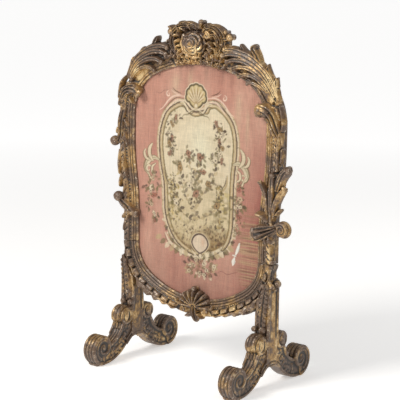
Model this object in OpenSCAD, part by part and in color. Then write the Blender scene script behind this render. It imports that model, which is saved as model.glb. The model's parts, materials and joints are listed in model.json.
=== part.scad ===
// Fire screen in carved and gilded wood.
// An upright frame stands between two scroll-footed trestles. A tapestry on a
// wooden strainer lies in the back of the frame, held by four turn buttons.
// X runs across the screen, Y from front to back, Z up. The origin is on the
// floor, midway between the feet. Heights called "forward" are measured
// towards the viewer from the middle plane of the frame.

/* [Opening] */
// Height of the opening's lowest point above the floor
sight_z = 235; // [215:5:300]
// Height of the opening at its centre
sight_h = 739; // [660:1:860]
// Width of the opening at the shoulders
sight_w = 520; // [470:2:600]
// How far each side draws in at the waist
waist_in = 20.5; // [8:0.5:30]
// Height of the waist, where the outward curve starts, above the lower corners' centres
waist_rise = 92; // [60:2:140]
// Length of the straight side between that curve and the shoulder
straight_len = 61; // [55:1:90]
// Radius of the arch over the opening
arch_r = 420; // [340:5:600]
// Radius of the two shoulders
shoulder_r = 150; // [110:5:180]
// Radius of the two lower corners
corner_r = 115; // [90:5:140]
// Radius of the opening's bottom edge
belly_r = 338; // [290:2:600]

/* [Frame] */
// Width of the moulding from the opening to the outer edge
rail_w = 56; // [50:1:66]
// How far the inner lip covers the panel
lip_w = 10; // [7:0.5:14]
// Thickness of the lip behind its reeds
lip_t = 6; // [4:0.5:8]
// Forward face of the frame's boards, where carvings are seated
seat_f = 10; // [8:0.5:12]
// Depth of the frame behind its middle plane
back_f = 20; // [18:0.5:26]
// Radius of each of the three inner reeds
reed_r = 4; // [3:0.25:5]
// Radius of the outer roll
roll_r = 12; // [9:0.5:14]
// How far the outer roll's crest stands forward
roll_f = 25; // [22:0.5:30]
// Number of gadroons on each half of the bottom rail
gadroons = 8; // [6:1:11]
// Height left of the outer roll in the cuts between the gadroons, as a share
gadroon_low = 0.3; // [0.15:0.05:0.6]
// Depth of the notch in the lower edge at each cut
gadroon_scallop = 2; // [0:0.5:4]
// Extra depth of the bottom rail's corners
apron_w = 20; // [10:1:26]

/* [Crest] */
// Height of the crest above the frame's top edge
crest_h = 84; // [60:1:110]
// Sideways offset of the crest's tip to the right
crest_shift = 14; // [0:1:20]
// Thickness of the board behind the crest's carving
crest_t = 20; // [14:1:26]
// Radius of the round boss in the crest
boss_r = 33; // [26:1:38]
// How far the boss stands forward of its seat
boss_h = 30; // [20:1:36]

/* [Trestles] */
// Distance of each post's middle outside the opening's widest point
post_out = 11; // [6:1:18]
// Width of a post across the screen
post_w = 48; // [40:1:56]
// Depth of a post from front to back
post_d = 54; // [48:1:62]
// Height of a post's underside above the floor
post_z = 72; // [64:1:84]
// Distance from the middle plane to where a foot touches the floor
foot_v = 160; // [140:2:190]
// Width of a leg between its scrolls
leg_w = 40; // [32:1:46]
// Width of the scrolls and volutes
scroll_w = 50; // [44:1:58]
// Radius of the foot scroll's lowest quarter
scroll_r = 54; // [44:1:60]
// How much each further quarter of the foot scroll shrinks
scroll_step = 8; // [6:0.5:10]
// Reeds across a foot scroll
scroll_reeds = 4; // [3:1:6]
// Depth cut flat from the bottom of each foot
foot_flat = 1.5; // [1:0.5:3]
// Radius of the upper volutes
volute_r = 28; // [22:1:32]
// Height of the upper volutes' centres
volute_z = 142; // [130:1:160]
// Distance of the upper volutes' centres from the middle plane
volute_v = 53; // [48:1:60]

/* [Panel] */
// Gap between the panel's edge and the rebate
panel_gap = 1.5; // [0.5:0.25:3]
// Thickness of the tapestry
tapestry_t = 1.2; // [0.8:0.1:2]
// Thickness of the backing cloth
lining_t = 0.8; // [0.5:0.1:1.5]
// Width of the strainer's members
strainer_w = 42; // [30:1:55]

/* [Turn buttons] */
// Length of a turn button
button_l = 52; // [44:1:60]
// Width of a turn button
button_w = 15; // [12:1:20]
// Thickness of a turn button
button_t = 4; // [3:0.5:6]
// Radius of the pivot screw's shank
screw_r = 2; // [1.5:0.25:3]
// Radial clearance of the pivot screw in the button
screw_gap = 0.06; // [0.02:0.01:0.1]
// Radius of the dowels in the joints
dowel_r = 5; // [4:0.5:6]

/* [Hidden] */
$fn = 64;

// Far beyond the model's edge, for cutting shapes
far = 500;

// Colours
old_gold = "#8a6a36";
dull_gold = "#77603c";
dark_gold = "#5d4a30";
rose = "#bd8a7a";
linen = "#b9a98a";
pine = "#c2a06c";
brass = "#b08d4a";

// Gap of a glued joint between curved faces
glue_gap = 0.1;
// Clearance of a dowel in its hole
dowel_gap = 0.05;

// Fixed points of the opening's outline, given as [x, z]
sight_top = sight_z + sight_h;
side_x = sight_w / 2;
waist_x = side_x - waist_in;
belly_c = [0, sight_z + belly_r];
corner_x = waist_x - corner_r;
corner_c = [corner_x, belly_c.y - sqrt(pow(belly_r - corner_r, 2) - pow(corner_x, 2))];
belly_a = atan2(corner_c.y - belly_c.y, corner_c.x);
arch_c = [0, sight_top - arch_r];
shoulder_x = side_x - shoulder_r;
shoulder_c = [shoulder_x, arch_c.y + sqrt(pow(arch_r - shoulder_r, 2) - pow(shoulder_x, 2))];
shoulder_a = atan2(shoulder_c.y - arch_c.y, shoulder_c.x);
waist_z = corner_c.y + waist_rise;
waist_len = shoulder_c.y - straight_len - waist_z;
side_r = (pow(waist_len / 2, 2) + pow(waist_in / 2, 2)) / waist_in;
side_a = asin(waist_len / 2 / side_r);
lower_c = [waist_x + side_r, waist_z];
upper_c = [side_x - side_r, waist_z + waist_len];
frame_top = sight_top + rail_w;
// Middle of each post
post_x = side_x + post_out;

// A point on an arc, and a run of such points
function on_arc(c, r, a) = c + r * [cos(a), sin(a)];
function arc(c, r, a0, a1, n) = [for (i = [0:n]) on_arc(c, r, a0 + (a1 - a0) * i / n)];
function reversed(a) = [for (i = [len(a) - 1:-1:0]) a[i]];

// Place on the right half of the frame, as [x, z]. The whole part of s names
// the stretch, from 0 at the bottom centre to 8 at the top centre, and u is
// the distance outside the opening.
function at(s, u) =
  let (i = min(floor(s), 7), f = s - i)
  i == 0 ? on_arc(belly_c, belly_r + u, -90 + f * (belly_a + 90)) :
  i == 1 ? on_arc(corner_c, corner_r + u, belly_a * (1 - f)) :
  i == 2 ? [waist_x + u, corner_c.y + f * waist_rise] :
  i == 3 ? on_arc(lower_c, side_r - u, 180 - f * side_a) :
  i == 4 ? on_arc(upper_c, side_r + u, -side_a * (1 - f)) :
  i == 5 ? [side_x + u, upper_c.y + f * (shoulder_c.y - upper_c.y)] :
  i == 6 ? on_arc(shoulder_c, shoulder_r + u, f * shoulder_a) :
           on_arc(arch_c, arch_r + u, shoulder_a + f * (90 - shoulder_a));

// The closed outline at a distance u outside the opening
function half_outline(u) = concat(
  arc(belly_c, belly_r + u, -90, belly_a, 10),
  arc(corner_c, corner_r + u, belly_a, 0, 10),
  arc(lower_c, side_r - u, 180, 180 - side_a, 5),
  arc(upper_c, side_r + u, -side_a, 0, 5),
  arc(shoulder_c, shoulder_r + u, 0, shoulder_a, 10),
  arc(arch_c, arch_r + u, shoulder_a, 90, 8)
);
function outline(u) = let (h = half_outline(u), n = len(h))
  concat(h, [for (i = [n - 2:-1:1]) [-h[i].x, h[i].y]]);

// Draws a flat shape in the frame's plane, from one forward height to another
module board(f0, f1) {
  translate([0, -f0, 0]) rotate([90, 0, 0]) linear_extrude(f1 - f0) children();
}

// Section of the moulding as [u, forward height], anticlockwise from the lip.
// Outside u = keep the moulding gives way to the seat of a carving. The outer
// roll stands at a share of its height, and w is the board's whole width.
bead_u = rail_w - roll_r;
two_reeds = 4.1 * reed_r;
all_reeds = 6.2 * reed_r;
step_f = (roll_f - seat_f) * 0.27;
reed_points = [[0.075, 0], [0.3, 1], [0.8, 1]];
moulding = concat(
  [[lip_w, -back_f], [lip_w, seat_f - lip_t], [0, seat_f - lip_t]],
  [for (i = [0:2], e = reed_points)
    [2 * reed_r * (i + e[0]), seat_f - 1 + i * step_f / 2 + reed_r * e[1]]],
  [[6.3 * reed_r, seat_f + step_f], [3.15 * reed_r + (bead_u - roll_r) / 2, seat_f - 2],
   [bead_u - roll_r, seat_f + step_f]],
  [for (a = [155, 120, 90, 60, 25]) on_arc([bead_u, roll_f - roll_r], roll_r, a)]
);
function section(keep, share, w) = concat(
  [for (p = moulding) [p.x,
    p.x > keep ? min(p.y, seat_f) :
    p.x > all_reeds && p.y > seat_f ? seat_f + (p.y - seat_f) * share : p.y]],
  [[rail_w - 0.5, seat_f], [w, seat_f - 2], [w, -back_f]]
);
// The section set upright at a place s, clockwise, and raised by lift
function rail_ring(s, side, seats, share = 1, w = rail_w, lift = 0) =
  reversed([for (p = section(kept(seats, s), share, w)) let (q = at(s, p.x)) [side * q.x, -p.y, q.y + lift]]);

// Seats are listed as [first s, last s, width of moulding kept]
function kept(seats, s) =
  min(concat([1000], [for (r = seats) if (s > r[0] - 0.001 && s < r[1] + 0.001) r[2]]));
// Places along the frame from s0 to s1, with one just outside each seat's ends
edge_s = 0.015;
function sorted(a) = len(a) < 2 ? a :
  let (m = a[floor(len(a) / 2)])
  concat(sorted([for (v = a) if (v < m - 0.004) v]), [m], sorted([for (v = a) if (v > m + 0.004) v]));
function places(s0, s1, n, seats) = sorted(concat([for (i = [0:n]) s0 + (s1 - s0) * i / n],
  [for (r = seats, v = [r[0] - edge_s, r[0], r[1], r[1] + edge_s]) if (v > s0 && v < s1) v]));

module both_sides() {
  children();
  mirror([1, 0, 0]) children();
}

// Carvings. Each spine is a list of [x, z, half width, forward height], and
// the spine is a smooth curve through those points.
function mix(p0, p1, p2, p3, f) =
  0.5 * (2 * p1 + (p2 - p0) * f + (2 * p0 - 5 * p1 + 4 * p2 - p3) * f * f
         + (3 * p1 - p0 - 3 * p2 + p3) * f * f * f);
function spine(c, t) =
  let (n = len(c) - 1, s = min(max(t, 0), 0.9999) * n, i = floor(s))
  mix(c[max(i - 1, 0)], c[i], c[i + 1], c[min(i + 2, n)], s - i);
function spine_normal(c, t) =
  let (d = spine(c, t + 0.01) - spine(c, t - 0.01)) [-d[1], d[0]] / norm([d[0], d[1]]);
// Half width at t, drawn in between the lobes
function lobed(c, t, lobes, cut) = spine(c, t)[2] * (1 - cut * pow(cos(180 * lobes * t), 4));
// Carvings are drawn on a moulding of a set width and seat, and follow the real
// one: k is its width against the drawn one.
drawn_w = 56;
drawn_seat = 10;
k = rail_w / drawn_w;
function forward(f) = seat_f + (f - drawn_seat) * k;
// Those by the waist keep their distance from it, drawn on a curve of a set
// length, and those on the arch end at a set distance from its middle.
drawn_len = 260;
low_end = 3.4;
low_s = 3 + (low_end - 3) * k * drawn_len / waist_len;
crest_foot = 100;
arch_low = 6.5;
arch_run = (90 - shoulder_a) / 180 * PI * (arch_r + rail_w);
crest_s = 8 - crest_foot * k / arch_run;
function carved_s(s) =
  s >= 3 && s < low_end ? 3 + (s - 3) * (low_s - 3) / (low_end - 3) :
  s >= low_end && s < 5 ? 5 - (5 - s) * (5 - low_s) / (5 - low_end) :
  s > arch_low ? arch_low + (s - arch_low) * (crest_s - arch_low) :
  s;
function place(s, u) = at(carved_s(s), u * k);
function crest_place(x, z) = [x * k, frame_top + z * k];
// Spine points given on the frame as [s, u, half width, forward height]
function on_frame(c) = [for (p = c) concat(place(p[0], p[1]), [p[2] * k, forward(p[3])])];
// Spine points given from the middle of the frame's top edge
function on_crest(c) = [for (p = c) concat(crest_place(p[0], p[1]), [p[2] * k, forward(p[3])])];

// Across a leaf: place between the edges, and share of the full height
leaf_across = [[-1, 0.3], [-0.75, 0.85], [-0.4, 0.6], [0, 1], [0.4, 0.6], [0.75, 0.85], [1, 0.3]];

function leaf_ring(c, t, lobes, cut, base) =
  let (q = spine(c, t), nrm = spine_normal(c, t), w = lobed(c, t, lobes, cut))
  concat(
    [for (a = leaf_across)
      let (p = [q[0], q[1]] + nrm * w * a[0]) [p.x, -(base + (q[3] - base) * a[1]), p.y]],
    [for (e = [1, -1]) let (p = [q[0], q[1]] + nrm * w * e) [p.x, -base, p.y]]
  );

// Solid through a list of rings, each with the same number of points
module loft(rings) {
  n = len(rings);
  m = len(rings[0]);
  polyhedron(
    points = [for (r = rings) each r],
    faces = concat(
      [for (i = [0:n - 2], j = [0:m - 1]) [i * m + j, i * m + (j + 1) % m, (i + 1) * m + j]],
      [for (i = [0:n - 2], j = [0:m - 1])
        [i * m + (j + 1) % m, (i + 1) * m + (j + 1) % m, (i + 1) * m + j]],
      [[for (j = [m - 1:-1:0]) j]],
      [[for (j = [0:m - 1]) (n - 1) * m + j]]
    )
  );
}

module leaf(c, lobes = 4, cut = 0.25, n = 16, base = seat_f) {
  loft([for (i = [0:n]) leaf_ring(c, i / n, lobes, cut, base)]);
}
// Plain tapered fingers of a leaf
finger_across = [[-1, 0.35], [-0.5, 0.86], [0, 1], [0.5, 0.86], [1, 0.35]];
module fingers(list, n = 7, base = seat_f) {
  for (c = list) loft([for (i = [0:n])
    let (q = spine(c, i / n), nrm = spine_normal(c, i / n), p0 = [q[0], q[1]])
    concat(
      [for (a = finger_across) let (p = p0 + nrm * q[2] * a[0]) [p.x, -(base + (q[3] - base) * a[1]), p.y]],
      [for (e = [1, -1]) let (p = p0 + nrm * q[2] * e) [p.x, -base, p.y]]
    )
  ]);
}

// A knob that stands on the seat, with its middle at p, drawn radius and height
module knob(p, drawn_r, drawn_h, base = seat_f) {
  r = drawn_r * k;
  h = drawn_h * k;
  translate([p.x, -base, p.y]) rotate([90, 0, 0]) rotate_extrude() intersection() {
    translate([0, h - r]) circle(r, $fn = 40);
    square([r, h + 1]);
  }
}

// Forms turned about a line that points forward, in facets, so that they join
// a leaf cleanly. The profile is a list of [radius, height over the base].
module turned(p, profile, sides = 20, base = seat_f) {
  loft([for (e = profile) [for (j = [0:sides - 1])
    let (q = on_arc(p, e[0], -360 * j / sides)) [q.x, -base - e[1], q.y]]]);
}
// Forms outside the frame's edge are set back to the middle of the board
edge_base = -6 * k;
function dome(r, h) = k * concat([[r, 0]], [for (a = [0:18:72]) [r * cos(a), h - r + r * sin(a)]]);

// Carvings on the frame, as [s, u, half width, forward height]
leaf_r = on_frame([[6.4, 56, 16, 20], [6.6, 56, 30, 22], [6.85, 54, 34, 24], [7.2, 54, 34, 26], 
    [7.42, 58, 26, 26]]);
fingers_r = [for (c = [
  [[6.42, 64, 8, 22], [6.7, 77, 12, 30], [7.0, 79, 12, 34], [7.28, 75, 11, 36], [7.47, 63, 8, 37]],
  [[6.43, 56, 8, 22], [6.75, 61, 11, 32], [7.1, 61, 11, 36], [7.35, 56, 10, 39], [7.49, 46, 8, 38]],
  [[6.42, 48, 8, 22], [6.7, 46, 11, 30], [7.0, 46, 11, 35], [7.24, 40, 10, 38], [7.38, 30, 8, 36]],
  [[6.46, 40, 7, 22], [6.66, 35, 9, 28], [6.88, 33, 9, 32], [7.06, 25, 7, 33]],
  [[6.5, 32, 6, 20], [6.62, 27, 7, 26], [6.76, 24, 6, 28]],
  [[6.84, 80, 9, 24], [6.93, 94, 12, 30], [7.0, 107, 12, 35], [6.97, 118, 6, 36]],
  [[6.66, 80, 8, 22], [6.74, 90, 6, 24], [6.76, 97, 3, 22]],
  [[6.5, 76, 8, 22], [6.57, 87, 6, 24], [6.58, 94, 3, 22]]
]) on_frame(c)];
leaf_l = on_frame([[6.64, 52, 14, 20], [6.8, 54, 28, 22], [7.05, 53, 32, 24], [7.3, 54, 32, 26], 
    [7.5, 58, 24, 26]]);
fingers_l = [for (c = [
  [[6.66, 62, 8, 22], [6.85, 75, 12, 30], [7.1, 78, 12, 34], [7.32, 74, 11, 36], [7.52, 62, 8, 37]],
  [[6.68, 53, 8, 22], [6.9, 59, 11, 32], [7.2, 60, 11, 36], [7.42, 55, 10, 39], [7.55, 46, 8, 38]],
  [[6.66, 45, 8, 22], [6.88, 43, 10, 30], [7.12, 42, 10, 35], [7.3, 36, 9, 37], [7.42, 28, 8, 34]],
  [[6.7, 37, 7, 20], [6.84, 31, 8, 26], [6.98, 26, 7, 28]],
  [[7.12, 80, 9, 24], [7.22, 94, 11, 30], [7.3, 108, 5, 32]],
  [[6.84, 76, 8, 22], [6.93, 87, 6, 24], [6.98, 94, 3, 22]]
]) on_frame(c)];
collar_r = on_frame([[5.62, 54, 10, 22], [5.95, 48, 15, 30], [6.2, 32, 17, 36], [6.36, 9, 16, 40], 
    [6.44, -11, 10, 38]]);
collar_l = on_frame([[6.2, 62, 9, 20], [6.36, 46, 17, 30], [6.48, 22, 18, 36], [6.53, 0, 16, 40], 
    [6.5, -24, 10, 38]]);
calyx_r = on_frame([[3.34, 45, 20, 20], [3.7, 45, 26, 28], [4.0, 48, 33, 30], [4.28, 54, 34, 32], 
    [4.5, 66, 26, 34]]);
calyx_tips = [for (c = [
  [[4.0, 24, 8, 28], [4.16, 8, 9, 32], [4.26, -6, 6, 32]],
  [[4.14, 76, 9, 26], [4.26, 88, 9, 30], [4.34, 100, 5, 28]],
  [[4.3, 64, 14, 32], [4.5, 78, 16, 38], [4.62, 90, 13, 36], [4.58, 104, 7, 30]]
]) on_frame(c)];
curl_l = on_frame([[6.1, 36, 12, 22], [5.9, 42, 14, 28], [5.5, 46, 14, 30], [4.98, 47, 13, 30], 
    [4.82, 56, 11, 31], [4.72, 70, 9, 26]]);
curl_knob = place(4.8, 82);
clasp_r = on_frame([[3.14, 59, 14, 24], [3.08, 40, 19, 34], [3.02, 16, 17, 38], [2.97, -9, 10, 36]]);
clasp_l = on_frame([[3.35, 84, 8, 22], [3.27, 62, 15, 30], [3.14, 34, 18, 36], [3.04, 12, 15, 38], 
    [3.0, -9, 9, 36]]);
clasp_knob = place(3.38, 88);
volute_place = place(3.16, 84.6);

// Carvings on the crest, as [x, height over the frame, half width, forward height]
hump_c = on_crest([[-66, -6, 10, 24], [-88, 18, 13, 30], [-86, 46, 14, 34], [-62, 65, 14, 38], 
    [-30, 69, 12, 38], [-4, 62, 9, 32]]);
scroll_c = on_crest([[33, 46, 7, 26], [33, 66, 9, 34], [54, 75, 12, 38], [82, 60, 15, 40], 
    [98, 34, 15, 38], [88, 6, 12, 30]]);
boss_p = crest_place(-9, 11);
tip_p = [crest_shift, frame_top + crest_h - 10 * k];
knob_l_p = crest_place(-104, 46);
knob_r_p = crest_place(122, 38);
eye_p = crest_place(45, 51);
flowers = [[-76, -36, 11], [-46, -40, 10], [-8, -45, 10], [32, -40, 11], [66, -38, 11]];

// Seats of the carvings on the left half and on the right half
function seats(list) = [for (r = list) [carved_s(r[0]), r[1] == 8 ? 8 : carved_s(r[1]), r[2]]];
seats_l = seats([[2.82, 3.32, 0], [3.32, 3.5, all_reeds], [4.52, 6.2, two_reeds], [6.2, 6.64, 0],
                 [6.64, 7.45, two_reeds], [7.45, 8, 0]]);
seats_r = seats([[2.76, 3.24, 0], [3.24, 3.86, two_reeds], [3.86, 4.36, 0], [4.36, 4.74, two_reeds],
                 [5.5, 6.08, two_reeds], [6.08, 6.54, 0], [6.54, 7.45, two_reeds], [7.45, 8, 0]]);

// Each rail is lofted past its joints, then cut off square there
end_run = 8;
module cut_below(z) {
  translate([-far, -far, z - 2 * end_run]) cube([2 * far, 2 * far, 2 * end_run]);
}
module cut_above(z) {
  translate([-far, -far, z]) cube([2 * far, 2 * far, 2 * end_run]);
}
// Rings that run past an upper joint, or past a lower one where way is -1
function run_out(s, side, seats, way) = [
  rail_ring(s, side, seats, lift = way * end_run / 2),
  rail_ring(s, side, [], lift = way * end_run)
];

module top_rail() {
  color(old_gold) difference() {
    loft(concat(
      reversed(run_out(6, 1, seats_r, -1)),
      [for (s = places(6.02, 7.98, 10, seats_r)) rail_ring(s, 1, seats_r)],
      [for (s = reversed(places(6.02, 8, 10, seats_l))) rail_ring(s, -1, seats_l)],
      run_out(6, -1, seats_l, -1)
    ));
    cut_below(shoulder_c.y);
    stile_dowels(dowel_gap);
  }
}
function stile_rings(side, seats) = concat(
  [rail_ring(2, side, [], lift = -end_run)],
  [for (s = places(2.3, 5.9, 9, seats)) rail_ring(s, side, seats)],
  run_out(6, side, seats, 1)
);
module stile_cuts() {
  cut_below(corner_c.y);
  cut_above(shoulder_c.y);
  stile_dowels(dowel_gap);
  button_holes();
}
module right_stile() {
  color(old_gold) difference() {
    loft(stile_rings(1, seats_r));
    stile_cuts();
  }
}
module left_stile() {
  color(old_gold) difference() {
    loft(reversed(stile_rings(-1, seats_l)));
    stile_cuts();
  }
}

// How far along the bottom rail, from its middle, a place s lies
belly_run = (belly_a + 90) / 180 * PI * (belly_r + rail_w - roll_r);
corner_run = -belly_a / 180 * PI * (corner_r + rail_w - roll_r);
function bottom_s(d) = d < belly_run ? d / belly_run : 1 + (d - belly_run) / corner_run;
gadroon_first = 2;
gadroon_pitch = (belly_run + 0.8 * corner_run) / (gadroons + gadroon_first);
seats_low = [[0, 0.3, 0]];

// The rail deepens towards each post, and stops short of the post's inner face.
// Beyond the place meet_s the post is scribed to the rail's round corner.
face_x = post_x - post_w / 2 - glue_gap;
meet_s = 2 - acos((face_x - corner_x) / (corner_r + rail_w)) / -belly_a;
function low_width(s) =
  let (f = min(max((s - 0.4) / 0.7, 0), 1), w = rail_w + apron_w * f * f * (3 - 2 * f))
  s < 1 ? w : max(rail_w, min(w, (face_x - corner_x) / cos(belly_a * (2 - s)) - corner_r));
// A ring of the bottom rail; g is the place within a gadroon, 0 at the cut
function low_ring(s, side, g) = rail_ring(s, side, seats_low,
  g == 0 ? gadroon_low : 1, low_width(s) - (g == 0 ? gadroon_scallop : 0));
gadroon_places = concat(
  [[0, 1], [0.15, 1], [0.3, 1]],
  [for (i = [gadroon_first:gadroons + gadroon_first - 1], g = [0, 0.28, 0.72])
    [bottom_s((i + g) * gadroon_pitch), g]],
  [[bottom_s((gadroons + gadroon_first) * gadroon_pitch), 0], [1.9, 1], [1.98, 1]]
);
low_places = concat(
  [for (p = gadroon_places) if (p[0] < meet_s - edge_s) p],
  [[meet_s, 1]],
  [for (p = gadroon_places) if (p[0] > meet_s + edge_s) p]
);
module bottom_rail() {
  n = len(low_places);
  color(dull_gold) difference() {
    loft(concat(
      [rail_ring(2, -1, [], lift = end_run)],
      [for (i = [n - 1:-1:0]) low_ring(low_places[i][0], -1, low_places[i][1])],
      [for (i = [1:n - 1]) low_ring(low_places[i][0], 1, low_places[i][1])],
      [rail_ring(2, 1, [], lift = end_run)]
    ));
    cut_above(corner_c.y);
    stile_dowels(dowel_gap);
    post_pegs(dowel_gap);
  }
}

// Dowels across the four joints of the frame
module stile_dowels(gap) {
  length = 50;
  both_sides() for (end = [[waist_x, corner_c.y], [side_x, shoulder_c.y]], u = [0.42, 0.8])
    translate([end.x + rail_w * u, (back_f - seat_f) / 2, end.y - length / 2 - gap])
      cylinder(r = dowel_r + gap, h = length + 2 * gap);
}
module frame_dowels() {
  color(pine) stile_dowels(0);
}

module crest_board() {
  edge = concat(
    [for (p = [[-98, -30], [-100, 40], [-88, 54], [-64, 67], [-38, 68], [-4, 68]]) p * k],
    [[crest_shift, crest_h - 12 * k]],
    [for (p = [[40, 70], [72, 66], [96, 52], [110, 36], [112, -30]]) p * k]
  );
  n = 44;
  color(dark_gold) board(seat_f - crest_t, seat_f) difference() {
    translate([0, frame_top]) polygon(concat(
      [for (i = [0:n]) let (q = spine(edge, i / n)) q]
    ));
    translate(arch_c) circle(arch_r + rail_w + glue_gap, $fn = 180);
  }
}
module crest_boss() {
  color(old_gold) translate([boss_p.x, -seat_f, boss_p.y]) rotate([90, 0, 0]) rotate_extrude() {
    dome_r = (boss_r * boss_r + boss_h * boss_h) / (2 * boss_h);
    intersection() {
      translate([0, boss_h - dome_r]) circle(dome_r, $fn = 80);
      square([boss_r - 5, boss_h + 1]);
    }
    intersection() {
      translate([boss_r - 6, 5]) circle(6, $fn = 32);
      square([boss_r, 12]);
    }
    square([boss_r - 6, 5]);
  }
}
module crest_scroll_left() {
  color(old_gold) {
    leaf(hump_c, 4, 0.2);
    knob(knob_l_p, 12, 26);
  }
}
module crest_scroll_right() {
  color(old_gold) {
    leaf(scroll_c, 4, 0.12);
    knob(knob_r_p, 13, 27);
    knob(eye_p, 10, 26);
    knob(tip_p, 9, 22);
  }
}
module crest_flowers() {
  color(old_gold) for (p = flowers) knob(crest_place(p[0], p[1]), p[2], p[2] + 8);
}

module top_leaf_right() {
  color(dull_gold) {
    leaf(leaf_r, 5, 0.2, 15);
    fingers(fingers_r);
  }
}
module top_leaf_left() {
  color(dull_gold) mirror([1, 0, 0]) {
    leaf(leaf_l, 4, 0.2, 12);
    fingers(fingers_l);
  }
}
module shoulder_leaf_right() {
  color(dull_gold) leaf(collar_r);
}
module shoulder_leaf_left() {
  color(dull_gold) mirror([1, 0, 0]) leaf(collar_l);
}
module side_curl_right() {
  color(old_gold) {
    leaf(calyx_r, 3, 0.12, 12);
    fingers(calyx_tips);
  }
}
module side_curl_left() {
  color(old_gold) mirror([1, 0, 0]) {
    leaf(curl_l, 5, 0.15, 15);
    turned(curl_knob, dome(13, 26), 20, edge_base);
  }
}
module side_leaf_left() {
  color(dull_gold) mirror([1, 0, 0]) {
    leaf(clasp_l);
    turned(clasp_knob, dome(13, 24), 20, edge_base);
  }
}
module side_volute_right() {
  color(old_gold) {
    leaf(clasp_r);
    volute(volute_place);
  }
}
// Round volute seen from the front, with a rounded rim and an eye
module volute(p) {
  drawn_r = 28;
  r = drawn_r * k;
  rim = r * 0.18;
  turned(p, [[r, 0], [r, rim * 3.6], [r - rim * 0.3, rim * 4.4], [r - rim, rim * 4.8], [r - rim * 1.7, rim * 4.4],
             [r - rim * 2, rim * 3.6], [r - rim * 2.8, rim * 3.7], [r - rim * 3.2, rim * 4.6], [rim, rim * 5.2]],
         28, edge_base);
}

// Shell below the opening: a fan of ribs with a stem under it
shell_ribs = 7;
shell_c = [4 * k, sight_z - 18 * k];
shell_r = 52 * k;
function shell_rim(a) = shell_r * (1 - 0.14 * pow(cos(shell_ribs * a), 2));
function shell_high(a, share) = forward(18 + 14 * share * (0.7 + 0.3 * pow(sin(shell_ribs * a), 2)));
shell_stem = [for (p = [[0, -2, 11, 30], [1, -20, 15, 30], [3, -38, 11, 26], [4, -54, 5, 16]])
  [shell_c.x + p[0] * k, shell_c.y + p[1] * k, p[2] * k, forward(p[3])]];
module bottom_shell() {
  n = 42;
  color(dull_gold) {
    loft([for (i = [n:-1:0]) let (a = 180 * i / n, d = [cos(a), sin(a)]) [
      for (e = [[0.06, 0.4], [0.35, 0.9], [0.75, 1], [0.96, 0.5], [1, 0.1]])
        let (p = shell_c + shell_rim(a) * e[0] * d) [p.x, -shell_high(a, e[1]), p.y],
      for (e = [1, 0.06]) let (p = shell_c + shell_rim(a) * e * d) [p.x, -seat_f, p.y]
    ]]);
    leaf(shell_stem, 2, 0.2, 10);
    knob([shell_c.x + 2 * k, shell_c.y + shell_r + 4 * k], 9, 20);
  }
}

// Trestles
corner_out = corner_r + rail_w;
post_drop = 38;
post_top = corner_c.y - post_drop;
post_f = post_d / 2;

// Dowels that pin each post to the frame's lower corner
module post_pegs(gap) {
  length = 38;
  both_sides() for (a = [-29, -41]) {
    p = on_arc(corner_c, corner_out - length / 2, a);
    translate([p.x, (back_f - seat_f) / 2, p.y]) rotate([0, 90 - a, 0])
      translate([0, 0, -gap]) cylinder(r = dowel_r + gap, h = length + 2 * gap);
  }
}
// Dowels that pin each leg to its post
module leg_pegs(gap) {
  length = 36;
  both_sides() for (side = [-1, 1], z = [post_z + 30, volute_z + 8])
    translate([post_x, side * post_f, z]) rotate([90, 0, 0])
      cylinder(r = dowel_r + gap, h = length + 2 * gap, center = true);
}
module post_dowels() {
  color(pine) post_pegs(0);
}
module leg_dowels() {
  color(pine) leg_pegs(0);
}

// Post on the right, scribed to the frame's round corner, with a fluted side
module post() {
  x0 = post_x - post_w / 2;
  x1 = post_x + post_w / 2;
  flute_r = 7;
  flute_deep = 3;
  flute_low = 40;
  flute_high = 50;
  shave_z = 60;
  shave_x = 5;
  hollow_r = 62;
  hollow_deep = 2;
  difference() {
    board(-post_f, post_f) difference() {
      polygon([[x0, post_z], [x1, post_z], [x1, post_top - shave_z], [x1 - shave_x, post_top], [x0, post_top]]);
      translate(corner_c) circle(corner_out + glue_gap, $fn = 180);
      translate([post_x, post_z + hollow_deep - hollow_r]) circle(hollow_r);
    }
    for (y = [-1, 1] * post_d * 0.2)
      translate([x1 + flute_r - flute_deep, y, volute_z + flute_low])
        cylinder(r = flute_r, h = post_top - flute_high - volute_z - flute_low);
  }
}
module right_post() {
  color(dull_gold) difference() {
    post();
    post_pegs(dowel_gap);
    leg_pegs(dowel_gap);
  }
}
module left_post() {
  color(dull_gold) difference() {
    mirror([1, 0, 0]) post();
    post_pegs(dowel_gap);
    leg_pegs(dowel_gap);
  }
}
// Places on a post's front, from its middle and the height of the volutes
function post_place(x, z) = [post_x + x * k, volute_z + z * k];
post_leaf = [for (p = [[-2, 52, 14, 6], [-2, 84, 19, 11], [3, 124, 17, 11], [10, 166, 11, 8], [16, 192, 5, 4]])
  concat(post_place(p[0], p[1]), [p[2] * k, post_f + p[3] * k])];
module post_carving() {
  leaf(post_leaf, 4, 0.2, 16, post_f);
  knob(post_place(10, 38), 11, 16, post_f);
  knob(post_place(-15, 38), 9, 14, post_f);
}
module post_leaf_right() {
  color(dark_gold) post_carving();
}
module post_leaf_left() {
  color(dark_gold) mirror([1, 0, 0]) post_carving();
}

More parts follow.
